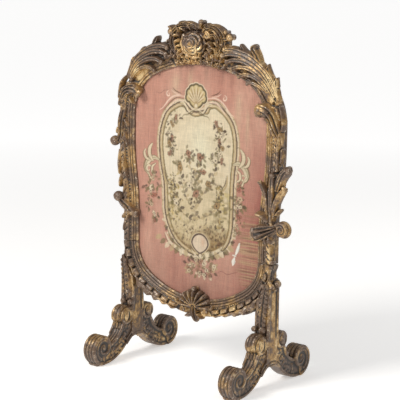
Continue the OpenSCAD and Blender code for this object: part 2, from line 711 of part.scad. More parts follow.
// A leg is drawn from its side, as [distance from the middle plane, height].
// Its foot scroll is made of quarter arcs, each smaller than the one before.
sole_z = -foot_flat;
scroll_radii = [scroll_r, scroll_r - scroll_step, scroll_r - 2 * scroll_step, scroll_r - 3 * scroll_step];
scroll_centres = [
  [foot_v, sole_z + scroll_r],
  [foot_v + scroll_step, sole_z + scroll_r],
  [foot_v + scroll_step, sole_z + scroll_r + scroll_step],
  [foot_v, sole_z + scroll_r + scroll_step]
];
under_r = 150;
under_c = [foot_v, sole_z + under_r];
top_arc_r = 83;
top_arc_in = 12;
top_arc_rise = 143;
top_arc_c = [foot_v - top_arc_in, sole_z + top_arc_rise];
// Small pad under each front scroll
pad_r = 9;
pad_w = 38;
pad_out = 26;

// Places a drawing of the side of a trestle, pushed out evenly to a width
module across_leg(width) {
  rotate([90, 0, 90]) translate([0, 0, -width / 2]) linear_extrude(width) children();
}
// Turns a section about a line across the leg; the section is [radius, across]
module turned_on_leg(c, a0, a1) {
  rotate([90, 0, 90]) translate([c.x, c.y, 0]) rotate([0, 0, a0]) rotate_extrude(angle = a1 - a0) children();
}
// Rim with parallel reeds, for the scrolls and volutes
module reeded(r, width, reeds) {
  reed = width / reeds / 2;
  translate([0, -width / 2]) square([r - reed, width]);
  for (i = [0:reeds - 1]) translate([r - reed, -width / 2 + reed * (2 * i + 1)]) circle(reed, $fn = 24);
}

module leg_side() {
  start = atan2(-106, -106);
  polygon(concat(
    [[post_f, under_c.y - under_r * 0.55]],
    arc(under_c, under_r, start, -90, 14),
    [[foot_v, scroll_centres[3].y]],
    arc(top_arc_c, top_arc_r, -98, -168, 12),
    [[volute_v, volute_z], [post_f, volute_z + volute_r - 4]]
  ));
}
module leg(front) {
  difference() {
    union() {
      across_leg(leg_w) leg_side();
      for (i = [0:3])
        turned_on_leg(scroll_centres[i], -90 + 90 * i, 90 * i) reeded(scroll_radii[i], scroll_w, scroll_reeds);
      turned_on_leg([volute_v, volute_z], 0, 360) reeded(volute_r, scroll_w, 3);
      if (front) turned_on_leg([foot_v + pad_out, pad_r - foot_flat], 0, 360)
        translate([0, -pad_w / 2]) square([pad_r, pad_w]);
    }
    translate([-100, -100, -50]) cube([200, 400, 50]);
    translate([-100, -1, 0]) cube([200, post_f + 1, 250]);
  }
}
// Puts a leg at one corner: side is -1 on the left, end is -1 at the front
module at_corner(side, end) {
  translate([side * post_x, 0, 0]) mirror([0, end < 0 ? 1 : 0, 0]) children();
}
module front_left_leg() {
  color(dull_gold) difference() {
    at_corner(-1, -1) leg(true);
    leg_pegs(dowel_gap);
  }
}
module front_right_leg() {
  color(dull_gold) difference() {
    at_corner(1, -1) leg(true);
    leg_pegs(dowel_gap);
  }
}
module rear_left_leg() {
  color(dull_gold) difference() {
    at_corner(-1, 1) leg(false);
    leg_pegs(dowel_gap);
  }
}
module rear_right_leg() {
  color(dull_gold) difference() {
    at_corner(1, 1) leg(false);
    leg_pegs(dowel_gap);
  }
}

// The panel, from the lip backwards: tapestry, strainer, backing cloth
panel_u = lip_w - panel_gap;
face_f = seat_f - lip_t - glue_gap;
strainer_front = face_f - tapestry_t;
lining_back = -back_f + glue_gap;
strainer_back = lining_back + lining_t;
joint_in = 30;
low_joint = corner_c.y + joint_in;
high_joint = shoulder_c.y - joint_in;

module tapestry() {
  color(rose) board(strainer_front, face_f) polygon(outline(panel_u));
}
module lining() {
  color(linen) board(lining_back, strainer_back) polygon(outline(panel_u));
}
// The strainer between two heights and two sideways places
module strainer(x0, x1, z0, z1) {
  board(strainer_back, strainer_front) intersection() {
    difference() {
      polygon(outline(panel_u));
      polygon(outline(panel_u - strainer_w));
    }
    translate([x0, z0]) square([x1 - x0, z1 - z0]);
  }
}
module strainer_top() {
  color(pine) strainer(-far, far, high_joint, sight_top + far);
}
module strainer_bottom() {
  color(pine) strainer(-far, far, 0, low_joint);
}
module strainer_left() {
  color(pine) strainer(-far, 0, low_joint, high_joint);
}
module strainer_right() {
  color(pine) strainer(0, far, low_joint, high_joint);
}
module strainer_bar() {
  bar_z = (low_joint + high_joint) / 2;
  bar_w = strainer_w * 0.9;
  inset = 4;
  color(pine) board(strainer_back, strainer_front - inset) intersection() {
    polygon(outline(panel_u - strainer_w));
    translate([-far, bar_z - bar_w / 2]) square([2 * far, bar_w]);
  }
}

// Turn buttons on the frame's back, each on a screw
button_gap = 0.15;
button_back = -back_f - button_gap;
pivot_in = button_l * 0.27;
function pivot(i) = let (p = at(i % 2 == 0 ? 2.6 : 5.5, rail_w * 0.5)) [i < 2 ? -p.x : p.x, p.y];

module button(i) {
  p = pivot(i);
  inward = i < 2 ? 1 : -1;
  reach = button_l - pivot_in - button_w / 2;
  tail_l = pivot_in - button_w / 2;
  color(brass) board(button_back - button_t, button_back) difference() {
    union() {
      translate([p.x - inward * tail_l, p.y]) circle(button_w / 2);
      translate([p.x + inward * reach, p.y]) circle(button_w / 2);
      translate([min(p.x - inward * tail_l, p.x + inward * reach), p.y - button_w / 2])
        square([reach + tail_l, button_w]);
    }
    translate(p) circle(screw_r + screw_gap);
  }
}
module turn_button_1() {
  button(0);
}
module turn_button_2() {
  button(1);
}
module turn_button_3() {
  button(2);
}
module turn_button_4() {
  button(3);
}
screw_depth = 14;
module button_holes() {
  for (i = [0:3]) translate([pivot(i).x, back_f - screw_depth, pivot(i).y]) rotate([-90, 0, 0])
    cylinder(r = screw_r, h = screw_depth + 1);
}
module button_screws() {
  head_r = screw_r * 2.2;
  under_head = back_f + 2 * button_gap + button_t;
  slot = 1.2;
  color(brass) for (i = [0:3]) translate([pivot(i).x, 0, pivot(i).y]) rotate([-90, 0, 0]) difference() {
    union() {
      translate([0, 0, back_f - screw_depth]) cylinder(r = screw_r, h = screw_depth + under_head - back_f);
      translate([0, 0, under_head]) intersection() {
        translate([0, 0, -head_r]) sphere(head_r * 1.42, $fn = 48);
        cylinder(r = head_r, h = head_r);
      }
    }
    translate([-head_r - 1, -slot / 2, under_head + 1]) cube([2 * head_r + 2, slot, head_r]);
  }
}

top_rail();
bottom_rail();
left_stile();
right_stile();
frame_dowels();
crest_board();
crest_boss();
crest_scroll_left();
crest_scroll_right();
crest_flowers();
top_leaf_left();
top_leaf_right();
shoulder_leaf_left();
shoulder_leaf_right();
side_curl_left();
side_curl_right();
side_leaf_left();
side_volute_right();
bottom_shell();
left_post();
right_post();
post_leaf_left();
post_leaf_right();
post_dowels();
front_left_leg();
front_right_leg();
rear_left_leg();
rear_right_leg();
leg_dowels();
strainer_top();
strainer_bottom();
strainer_left();
strainer_right();
strainer_bar();
tapestry();
lining();
turn_button_1();
turn_button_2();
turn_button_3();
turn_button_4();
button_screws();
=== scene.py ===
# %% [markdown]
# # A carved and gilded fire screen
# The object is an upright wooden frame on two scroll-footed trestles. It was
# carved, covered in gesso and gilded, and then a century and more of smoke,
# dust and handling browned it. In it hangs a faded woven panel. The wooden
# core is already built as a set of exact solids, so this lesson adds what a
# carver, a gilder and a weaver add: the carving, the gold and the cloth.
#
# First the frame of exact solids is loaded.

# %% Load the frame
import json
import math

import bpy
import numpy as np
from mathutils import Matrix, Vector


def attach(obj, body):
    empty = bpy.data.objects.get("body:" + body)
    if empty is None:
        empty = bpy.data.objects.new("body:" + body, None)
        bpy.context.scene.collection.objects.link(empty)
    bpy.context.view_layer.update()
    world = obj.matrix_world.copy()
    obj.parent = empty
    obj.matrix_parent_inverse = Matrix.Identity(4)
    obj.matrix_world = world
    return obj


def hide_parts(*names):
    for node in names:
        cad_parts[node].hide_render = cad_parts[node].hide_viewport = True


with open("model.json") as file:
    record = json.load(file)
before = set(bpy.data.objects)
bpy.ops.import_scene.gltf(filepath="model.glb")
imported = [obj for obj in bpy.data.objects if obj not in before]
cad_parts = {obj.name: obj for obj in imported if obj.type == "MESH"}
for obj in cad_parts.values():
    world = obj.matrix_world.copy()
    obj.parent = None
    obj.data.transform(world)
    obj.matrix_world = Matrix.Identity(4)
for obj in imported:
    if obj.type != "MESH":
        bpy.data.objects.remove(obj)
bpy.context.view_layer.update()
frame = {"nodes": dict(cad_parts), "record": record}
MM = 0.001

# %% [markdown]
# ## Camera
# The picture of the object was taken from its right, a little above its
# middle, with a long lens. The camera stands where the feet, the posts and
# the crest all fall where they should. It is rolled by a degree, as a hand
# held camera is.

# %% Camera
AZIMUTH, ELEVATION, ROLL = (math.radians(a) for a in (37.837, 9.801, 0.914))
FOCAL_PX, IMAGE_PX, SENSOR_MM = 1316.84, 400, 36
back = Vector((math.sin(AZIMUTH) * math.cos(ELEVATION), -math.cos(AZIMUTH) * math.cos(ELEVATION), math.sin(ELEVATION)))
level = Vector((math.cos(AZIMUTH), math.sin(AZIMUTH), 0))
upright = back.cross(level)
right = level * math.cos(ROLL) + upright * math.sin(ROLL)
up = upright * math.cos(ROLL) - level * math.sin(ROLL)
camera_data = bpy.data.cameras.new("camera")
camera_data.sensor_width = SENSOR_MM
camera_data.lens = FOCAL_PX / IMAGE_PX * SENSOR_MM
camera = bpy.data.objects.new("camera", camera_data)
camera.matrix_world = Matrix.Translation((2.5027, -3.2156, 1.2544)) @ Matrix((right, up, back)).transposed().to_4x4()
bpy.context.scene.collection.objects.link(camera)
bpy.context.scene.camera = camera
print("lens", round(camera_data.lens, 1), "mm")

# %% [markdown]
# ## Floor and light
# A plain pale floor takes the shadow. The light is that of a studio: one
# large soft lamp high on the left of the camera, a weaker one on the right,
# and a faint one from behind that draws the edge of the crest.

# %% Floor, lamps and background
def mesh_object(name, verts, faces, smooth=True):
    """A mesh object from points in metres and lists of corner numbers."""
    mesh = bpy.data.meshes.new(name)
    mesh.from_pydata([tuple(v) for v in verts], [], [tuple(f) for f in faces])
    mesh.polygons.foreach_set("use_smooth", [smooth] * len(mesh.polygons))
    obj = bpy.data.objects.new(name, mesh)
    bpy.context.scene.collection.objects.link(obj)
    return obj


def material(name):
    """A new node material, with its tree and its surface shader."""
    mat = bpy.data.materials.new(name)
    mat.use_nodes = True
    return mat, mat.node_tree, mat.node_tree.nodes["Principled BSDF"]


FLOOR = 60.0
floor = mesh_object("floor", [(-FLOOR, -FLOOR, 0), (FLOOR, -FLOOR, 0), (FLOOR, FLOOR, 0), (-FLOOR, FLOOR, 0)], [(0, 1, 2, 3)])
floor_mat, tree, shader = material("floor")
shader.inputs["Base Color"].default_value = (0.88, 0.88, 0.88, 1)
shader.inputs["Roughness"].default_value = 0.8
shader.inputs["Emission Strength"].default_value = 1.0
place = tree.nodes.new("ShaderNodeTexCoord")
away = tree.nodes.new("ShaderNodeVectorMath")
away.operation = "LENGTH"
ramp = tree.nodes.new("ShaderNodeMapRange")
for socket, value in zip(("From Min", "From Max", "To Min", "To Max"), (0.9, 6.0, 0.42, 0.72)):
    ramp.inputs[socket].default_value = value
tree.links.new(place.outputs["Object"], away.inputs[0])
tree.links.new(away.outputs["Value"], ramp.inputs["Value"])
tree.links.new(ramp.outputs["Result"], shader.inputs["Emission Color"])
floor.data.materials.append(floor_mat)


def lamp(name, place, aim, width, watts, colour):
    """A square soft lamp at a place, aimed at a point."""
    data = bpy.data.lights.new(name, "AREA")
    data.shape = "SQUARE"
    data.size = width
    data.energy = watts
    data.color = colour
    obj = bpy.data.objects.new(name, data)
    obj.location = place
    obj.rotation_euler = (Vector(aim) - Vector(place)).to_track_quat("-Z", "Y").to_euler()
    bpy.context.scene.collection.objects.link(obj)


lamp("key", (-0.9, -2.9, 2.7), (0, 0, 0.6), 1.3, 112, (1.0, 0.97, 0.92))
lamp("fill", (3.2, -1.6, 1.6), (0, 0, 0.5), 2.0, 12, (1.0, 0.98, 0.95))
lamp("rim", (1.0, 2.6, 2.4), (0, 0, 0.8), 1.4, 22, (1.0, 0.98, 0.95))

world = bpy.data.worlds.new("studio")
bpy.context.scene.world = world
world.use_nodes = True
tree = world.node_tree
ambient = tree.nodes["Background"]
ambient.inputs["Color"].default_value = (1.0, 0.985, 0.965, 1)
ambient.inputs["Strength"].default_value = 0.28
white = tree.nodes.new("ShaderNodeBackground")
white.inputs["Strength"].default_value = 1.0
white.inputs["Color"].default_value = (1, 1, 1, 1)
ray = tree.nodes.new("ShaderNodeLightPath")
seen = tree.nodes.new("ShaderNodeMath")
seen.operation = "MAXIMUM"
tree.links.new(ray.outputs["Is Camera Ray"], seen.inputs[0])
tree.links.new(ray.outputs["Is Transmission Ray"], seen.inputs[1])
mixed = tree.nodes.new("ShaderNodeMixShader")
tree.links.new(seen.outputs[0], mixed.inputs["Fac"])
tree.links.new(ambient.outputs[0], mixed.inputs[1])
tree.links.new(white.outputs[0], mixed.inputs[2])
tree.links.new(mixed.outputs[0], tree.nodes["World Output"].inputs["Surface"])
bpy.context.scene.view_settings.view_transform = "Standard"
print("3 lamps,", FLOOR * 2, "m of floor")

# %% [markdown]
# ## Old gilding
# Gold leaf lies on a red clay, over white gesso, over wood. Where hands and
# brushes reach, on the crests of the carving, the leaf is burnished bright or
# worn through, and there the crests are also painted lighter as a painted
# highlight. In the hollows it was toned with brown size when new, and soot and
# dust have gathered there since; the hollows are darkened further as painted
# shade. So the colour follows the shape: two measures kept on each carved mesh,
# "hollow" and "crest", drive the mix, and fine noise breaks it up. Dust lies on
# whatever faces the sky, with a painted sheen of the light from above.

# %% Node helpers
class Nodes:
    """Short ways to add nodes to a tree and to join them."""

    def __init__(self, tree):
        self.tree = tree

    def add(self, kind, **settings):
        node = self.tree.nodes.new("ShaderNode" + kind)
        for key, value in settings.items():
            setattr(node, key, value)
        return node

    def put(self, socket, value):
        if isinstance(value, bpy.types.NodeSocket):
            self.tree.links.new(value, socket)
        elif value is not None:
            socket.default_value = value

    def math(self, operation, a, b=None, c=None, clamp=False):
        node = self.add("Math", operation=operation, use_clamp=clamp)
        for socket, value in zip(node.inputs, (a, b, c)):
            self.put(socket, value)
        return node.outputs[0]

    def noise(self, vector, scale, detail=3.0, roughness=0.55, stretch=None):
        if stretch:
            mapping = self.add("Mapping")
            self.put(mapping.inputs["Vector"], vector)
            mapping.inputs["Scale"].default_value = stretch
            vector = mapping.outputs[0]
        node = self.add("TexNoise")
        self.put(node.inputs["Vector"], vector)
        node.inputs["Scale"].default_value = scale
        node.inputs["Detail"].default_value = detail
        node.inputs["Roughness"].default_value = roughness
        return node.outputs["Fac"]

    def ramp(self, value, low, high):
        """0 below low, 1 above high, smooth between."""
        node = self.add("MapRange", interpolation_type="SMOOTHSTEP")
        self.put(node.inputs["Value"], value)
        node.inputs["From Min"].default_value = low
        node.inputs["From Max"].default_value = high
        return node.outputs["Result"]

    def mix(self, factor, a, b, blend="MIX"):
        node = self.add("Mix", data_type="RGBA", blend_type=blend)
        self.put(node.inputs["Factor"], factor)
        self.put(node.inputs[6], a)
        self.put(node.inputs[7], b)
        return node.outputs[2]


def group(name, inputs, outputs):
    """A node group with float inputs (name: start value) and outputs (name: kind)."""
    tree = bpy.data.node_groups.new(name, "ShaderNodeTree")
    for key, value in inputs.items():
        socket = tree.interface.new_socket(key, in_out="INPUT", socket_type="NodeSocketFloat")
        socket.default_value = value
    for key, kind in outputs.items():
        tree.interface.new_socket(key, in_out="OUTPUT", socket_type="NodeSocket" + kind)
    return tree, tree.nodes.new("NodeGroupInput"), tree.nodes.new("NodeGroupOutput")


# %% The gilding group
UMBER = (0.012, 0.007, 0.004, 1)
PATINA = (0.110, 0.062, 0.034, 1)
OCHRE = (0.40, 0.232, 0.078, 1)
BRIGHT = (0.84, 0.63, 0.33, 1)
GESSO = (0.70, 0.60, 0.47, 1)
MAUVE = (0.235, 0.165, 0.128, 1)
RUBBED_HIGHLIGHT = (0.34, 0.25, 0.185, 1)

gilding, gi, go = group("aged gilding", {"Gold": 0.5, "Dust and sheen": 0.5},
                        {"Color": "Color", "Roughness": "Float", "Metallic": "Float", "Height": "Float"})
n = Nodes(gilding)
where = n.add("TexCoord").outputs["Object"]
hollow = n.add("Attribute", attribute_name="hollow").outputs["Fac"]
crest = n.add("Attribute", attribute_name="crest").outputs["Fac"]
bright_patch = n.add("Attribute", attribute_name="bright_patch").outputs["Fac"]
broad = n.math("SUBTRACT", n.noise(where, 16, 3), 0.5)
middle = n.math("SUBTRACT", n.noise(where, 60, 4, 0.65), 0.5)
fine = n.math("SUBTRACT", n.noise(where, 380, 3, 0.7), 0.5)
# leaf is left in the fields and flanks; raised parts are rubbed down to brown
left = n.math("ADD", n.math("MULTIPLY", gi.outputs["Gold"], 0.9), n.math("MULTIPLY", broad, 2.7))
left = n.math("ADD", left, n.math("MULTIPLY", middle, 2.0))
left = n.math("SUBTRACT", left, n.math("MULTIPLY", crest, 0.15))
left = n.math("ADD", left, n.math("MULTIPLY", bright_patch, 1.1))
golden = n.ramp(left, 0.15, 0.70)
# the brightest gold is burnished leaf, and partly a painted highlight
shine = n.ramp(n.math("ADD", left, n.math("MULTIPLY", fine, 1.1)), 0.66, 1.10)
colour = n.mix(golden, PATINA, OCHRE)
colour = n.mix(n.math("MULTIPLY", shine, 0.7), colour, BRIGHT)
# a skin of grey dust and old varnish on what stands up or faces the sky, partly a painted sheen of the light from above
facing = n.add("SeparateXYZ")
n.put(facing.inputs[0], n.add("NewGeometry").outputs["Normal"])
sky = n.ramp(n.math("ADD", facing.outputs["Z"], n.math("MULTIPLY", middle, 0.9)), -0.25, 0.95)
dust_and_sheen = n.math("ADD", n.math("MULTIPLY", sky, 0.65), n.math("MULTIPLY", crest, 0.30))
dust_and_sheen = n.math("MULTIPLY", dust_and_sheen, n.math("MULTIPLY", gi.outputs["Dust and sheen"], n.math("SUBTRACT", 1.0, bright_patch)))
dust_and_sheen = n.math("MULTIPLY", dust_and_sheen, n.ramp(n.math("ADD", middle, fine), -0.22, 0.30), clamp=True)
colour = n.mix(dust_and_sheen, colour, MAUVE)
# rubbed crests catch the light: worn, glossier, and painted lighter as a painted highlight; here and there they are
# chipped to the gesso
rubbed_highlight = n.math("MULTIPLY", n.ramp(crest, 0.30, 0.95), n.ramp(n.math("ADD", middle, n.math("MULTIPLY", fine, 0.6)), -0.06, 0.20))
colour = n.mix(n.math("MULTIPLY", rubbed_highlight, 0.62), colour, n.mix(n.math("MULTIPLY", golden, 0.6), RUBBED_HIGHLIGHT, BRIGHT))
chip = n.math("MULTIPLY", n.ramp(n.math("ADD", n.noise(where, 150, 4, 0.65), n.math("MULTIPLY", crest, 0.12)), 0.72, 0.77), crest)
colour = n.mix(n.math("MULTIPLY", chip, 0.85), colour, GESSO)
# soot in the hollows, darkened further there as painted shade, and specks of soot everywhere
soot_and_shade = n.ramp(n.math("ADD", hollow, n.math("MULTIPLY", middle, 0.5)), 0.10, 0.62)
colour = n.mix(n.math("MULTIPLY", soot_and_shade, 0.94), colour, UMBER)
speck = n.ramp(n.noise(where, 260, 2, 0.6), 0.56, 0.68)
colour = n.mix(n.math("MULTIPLY", speck, 0.7), colour, UMBER)
# the backs were never gilded: dark old wood with a little bole
bare = n.add("Attribute", attribute_name="bare").outputs["Fac"]
grain_ = n.noise(where, 70, 4, 0.6, stretch=(1.0, 1.0, 0.12))
colour = n.mix(bare, colour, n.mix(n.ramp(grain_, 0.3, 0.7), (0.075, 0.042, 0.022, 1), (0.19, 0.115, 0.060, 1)))
n.put(go.inputs["Color"], colour)
metal = n.math("MULTIPLY", n.math("MULTIPLY", n.math("MAXIMUM", golden, rubbed_highlight), 0.55), n.math("SUBTRACT", 1.0, n.math("MAXIMUM", n.math("MAXIMUM", dust_and_sheen, soot_and_shade), bare)))
n.put(go.inputs["Metallic"], n.math("MULTIPLY", metal, n.math("SUBTRACT", 1.0, chip)))
rough = n.math("SUBTRACT", 0.47, n.math("MULTIPLY", n.math("MAXIMUM", shine, rubbed_highlight), 0.17))
rough = n.math("ADD", rough, n.math("MULTIPLY", n.math("MAXIMUM", dust_and_sheen, n.math("MULTIPLY", bare, 2.0)), 0.10))
n.put(go.inputs["Roughness"], n.math("ADD", rough, n.math("MULTIPLY", fine, 0.3), clamp=True))
height = n.math("ADD", n.math("MULTIPLY", middle, 0.9), n.math("MULTIPLY", fine, 0.5))
n.put(go.inputs["Height"], n.math("SUBTRACT", height, n.math("MULTIPLY", chip, 0.5)))


def gilded(name, gold, dust_sheen_amount, bump=0.35):
    """A gilded material: how golden it is, and how much dust and painted sheen it has."""
    mat, tree, shader = material(name)
    node = tree.nodes.new("ShaderNodeGroup")
    node.node_tree = gilding
    node.inputs["Gold"].default_value = gold
    node.inputs["Dust and sheen"].default_value = dust_sheen_amount
    relief = tree.nodes.new("ShaderNodeBump")
    relief.inputs["Strength"].default_value = bump
    relief.inputs["Distance"].default_value = 0.0009
    shader.inputs["Coat Weight"].default_value = 0.22
    shader.inputs["Coat Roughness"].default_value = 0.30
    for key, socket in (("Color", "Base Color"), ("Roughness", "Roughness"), ("Metallic", "Metallic")):
        tree.links.new(node.outputs[key], shader.inputs[socket])
    tree.links.new(node.outputs["Height"], relief.inputs["Height"])
    tree.links.new(relief.outputs["Normal"], shader.inputs["Normal"])
    return mat


GILT = {
    "gilt_wood": gilded("gilt_wood", 0.46, 0.55),
    "worn_gilt_wood": gilded("worn_gilt_wood", 0.40, 0.55),
    "dark_gilt_wood": gilded("dark_gilt_wood", 0.16, 0.6),
}
print(len(GILT), "kinds of gilding from one group")

# %% [markdown]
# ## Bare wood, brass and cloth
# The strainer is planed pine, with its grain along each member. The turn
# buttons are old brass gone brown. The cloths have a plain weave.

# %% Pine, brass and linen
grain, gi, go = group("pine grain", {}, {"Color": "Color", "Height": "Float", "Roughness": "Float"})
n = Nodes(grain)
where = n.add("TexCoord").outputs["Object"]
rings = n.noise(where, 30, 5, 0.6, stretch=(1.0, 3.0, 0.07))
fibres = n.noise(where, 700, 2, 0.6, stretch=(1.0, 1.0, 0.05))
colour = n.mix(n.ramp(rings, 0.35, 0.65), (0.34, 0.20, 0.095, 1), (0.185, 0.10, 0.045, 1))
colour = n.mix(n.math("MULTIPLY", fibres, 0.35), colour, (0.09, 0.05, 0.025, 1))
n.put(go.inputs["Color"], colour)
n.put(go.inputs["Height"], n.math("ADD", rings, n.math("MULTIPLY", fibres, 0.5)))
n.put(go.inputs["Roughness"], n.math("ADD", 0.62, n.math("MULTIPLY", fibres, 0.2)))

brassy, gi, go = group("old brass", {}, {"Color": "Color", "Height": "Float", "Roughness": "Float"})
n = Nodes(brassy)
where = n.add("TexCoord").outputs["Object"]
spots = n.noise(where, 220, 4, 0.65)
n.put(go.inputs["Color"], n.mix(n.ramp(spots, 0.4, 0.7), (0.52, 0.35, 0.13, 1), (0.13, 0.08, 0.04, 1)))
n.put(go.inputs["Height"], spots)
n.put(go.inputs["Roughness"], n.math("ADD", 0.3, n.math("MULTIPLY", spots, 0.35)))

woven, gi, go = group("linen weave", {}, {"Color": "Color", "Height": "Float", "Roughness": "Float"})
n = Nodes(woven)
where = n.add("TexCoord").outputs["Object"]
axes = n.add("SeparateXYZ")
n.put(axes.inputs[0], where)
THREADS = 2 * math.pi / 0.0011
weft = n.math("SINE", n.math("MULTIPLY", axes.outputs["X"], THREADS))
warp = n.math("SINE", n.math("MULTIPLY", axes.outputs["Z"], THREADS))
cross = n.math("MULTIPLY", weft, warp)
stain = n.noise(where, 6, 4)
colour = n.mix(n.ramp(stain, 0.3, 0.75), (0.40, 0.31, 0.20, 1), (0.24, 0.17, 0.10, 1))
colour = n.mix(n.math("MULTIPLY", n.ramp(cross, -1.0, 0.2), 0.35), (0.10, 0.07, 0.04, 1), colour)
n.put(go.inputs["Color"], colour)
n.put(go.inputs["Height"], n.math("ADD", n.math("MULTIPLY", cross, 0.5), n.noise(where, 900, 2)))
n.put(go.inputs["Roughness"], 0.9)


def plain(name, tree_group, bump, depth, metallic=0.0):
    """A material whose colour, roughness and relief come from a group."""
    mat, tree, shader = material(name)
    node = tree.nodes.new("ShaderNodeGroup")
    node.node_tree = tree_group
    relief = tree.nodes.new("ShaderNodeBump")
    relief.inputs["Strength"].default_value = bump
    relief.inputs["Distance"].default_value = depth
    shader.inputs["Metallic"].default_value = metallic
    tree.links.new(node.outputs["Color"], shader.inputs["Base Color"])
    tree.links.new(node.outputs["Roughness"], shader.inputs["Roughness"])
    tree.links.new(node.outputs["Height"], relief.inputs["Height"])
    tree.links.new(relief.outputs["Normal"], shader.inputs["Normal"])
    return mat


PLAIN = {
    "pine": plain("pine", grain, 0.4, 0.0004),
    "brass": plain("brass", brassy, 0.25, 0.0002, 0.9),
    "linen": plain("linen", woven, 0.6, 0.0004),
    "tapestry": plain("tapestry_plain", woven, 0.6, 0.0004),
}
print("bare materials:", ", ".join(PLAIN))

# %% Put each solid's own material on it
SLOT_OF = {part["node"]: part["material_slot"] for part in frame["record"]["subparts"]}
for name, obj in frame["nodes"].items():
    obj.data.materials.clear()
    slot = SLOT_OF[name]
    obj.data.materials.append(GILT.get(slot) or PLAIN[slot])

# %% [markdown]
# ## The curve of the opening
# Every carving follows the curve of the opening, so places on the frame are
# given along it and across it. The whole part of s names the stretch, from 0
# at the bottom centre, through the lower corner, the drawn-in waist, the
# shoulder and the arch, to 8 at the top centre. The distance u is measured
# outwards from the opening. Lengths here are millimetres.

# %% Places on the frame
SIGHT_Z, SIGHT_H, SIGHT_W = 235, 739, 520
WAIST_IN, WAIST_RISE, STRAIGHT = 20.5, 92, 61
ARCH_R, SHOULDER_R, CORNER_R, BELLY_R = 420, 150, 115, 338
RAIL_W, SEAT, BACK = 56, 10, 20


def on_arc(centre, radius, degrees):
    """Points on an arc in the upright plane, as [x, z]."""
    a = np.radians(degrees)
    return np.stack([centre[0] + radius * np.cos(a), centre[1] + radius * np.sin(a)], -1)


SIGHT_TOP, SIDE_X = SIGHT_Z + SIGHT_H, SIGHT_W / 2
WAIST_X = SIDE_X - WAIST_IN
BELLY = (0, SIGHT_Z + BELLY_R)
CORNER_X = WAIST_X - CORNER_R
CORNER = (CORNER_X, BELLY[1] - math.sqrt((BELLY_R - CORNER_R) ** 2 - CORNER_X ** 2))
BELLY_A = math.degrees(math.atan2(CORNER[1] - BELLY[1], CORNER[0]))
ARCH = (0, SIGHT_TOP - ARCH_R)
SHOULDER_X = SIDE_X - SHOULDER_R
SHOULDER = (SHOULDER_X, ARCH[1] + math.sqrt((ARCH_R - SHOULDER_R) ** 2 - SHOULDER_X ** 2))
SHOULDER_A = math.degrees(math.atan2(SHOULDER[1] - ARCH[1], SHOULDER[0]))
WAIST_Z = CORNER[1] + WAIST_RISE
WAIST_LEN = SHOULDER[1] - STRAIGHT - WAIST_Z
SIDE_R = ((WAIST_LEN / 2) ** 2 + (WAIST_IN / 2) ** 2) / WAIST_IN
SIDE_A = math.degrees(math.asin(WAIST_LEN / 2 / SIDE_R))
LOWER, UPPER = (WAIST_X + SIDE_R, WAIST_Z), (SIDE_X - SIDE_R, WAIST_Z + WAIST_LEN)
FRAME_TOP = SIGHT_TOP + RAIL_W
STRETCHES = [
    lambda f, u: on_arc(BELLY, BELLY_R + u, -90 + f * (BELLY_A + 90)),
    lambda f, u: on_arc(CORNER, CORNER_R + u, BELLY_A * (1 - f)),
    lambda f, u: np.stack([WAIST_X + u, CORNER[1] + f * WAIST_RISE], -1),
    lambda f, u: on_arc(LOWER, SIDE_R - u, 180 - f * SIDE_A),
    lambda f, u: on_arc(UPPER, SIDE_R + u, -SIDE_A * (1 - f)),
    lambda f, u: np.stack([SIDE_X + u, UPPER[1] + f * (SHOULDER[1] - UPPER[1])], -1),
    lambda f, u: on_arc(SHOULDER, SHOULDER_R + u, f * SHOULDER_A),
    lambda f, u: on_arc(ARCH, ARCH_R + u, SHOULDER_A + f * (90 - SHOULDER_A)),
]


def at(s, u):
    """The point [x, z] at a place s along the right half and u outside the opening."""
    s, u = np.broadcast_arrays(np.asarray(s, float), np.asarray(u, float))
    k = np.clip(np.floor(s), 0, 7).astype(int)
    out = np.empty(s.shape + (2,))
    for i, rule in enumerate(STRETCHES):
        here = k == i
        if here.any():
            out[here] = rule((s - k)[here], u[here])
    return out


def on_frame(rows):
    """Rows [s, u, half width, forward] as [x, z, half width, forward]."""
    return [[*at(r[0], r[1]), r[2], r[3]] for r in rows]


def on_crest(rows):
    """Rows [x, height over the frame, half width, forward]."""
    return [[r[0], FRAME_TOP + r[1], r[2], r[3]] for r in rows]


print("opening from", SIGHT_Z, "to", SIGHT_TOP, "mm; waist at", round(WAIST_Z), "mm")

# %% [markdown]
# ## Carving tools
# A carver works in cuts of a gouge, so nearly every form here is one sweep: a
# finger that follows a curve, swells and tapers, and has one or more rounded
# ridges along it. Scrolls are the same sweep wound up, and knobs and petals
# are balls. The shells of one carving overlap, and then they are melted into
# one skin, which is lightly smoothed as the gesso would smooth it.

# %% Curves, fingers, rods and balls
def smooth_curve(points, step=2.0):
    """A smooth curve through points of any kind, in even steps of length."""
    p = np.asarray(points, float)
    ends = np.vstack([2 * p[0] - p[1], p, 2 * p[-1] - p[-2]])
    t = np.linspace(0, 1, 24, endpoint=False)[:, None]
    fine = [0.5 * (2 * b + (c - a) * t + (2 * a - 5 * b + 4 * c - d) * t ** 2 + (3 * b - a - 3 * c + d) * t ** 3)
            for a, b, c, d in zip(ends[:-3], ends[1:-2], ends[2:-1], ends[3:])]
    fine = np.vstack(fine + [p[-1:]])
    run = np.concatenate([[0], np.cumsum(np.linalg.norm(np.diff(fine[:, :2], axis=0), axis=1))])
    count = max(int(run[-1] / step), 6)
    even = np.linspace(0, run[-1], count)
    return np.stack([np.interp(even, run, fine[:, i]) for i in range(p.shape[1])], 1), even


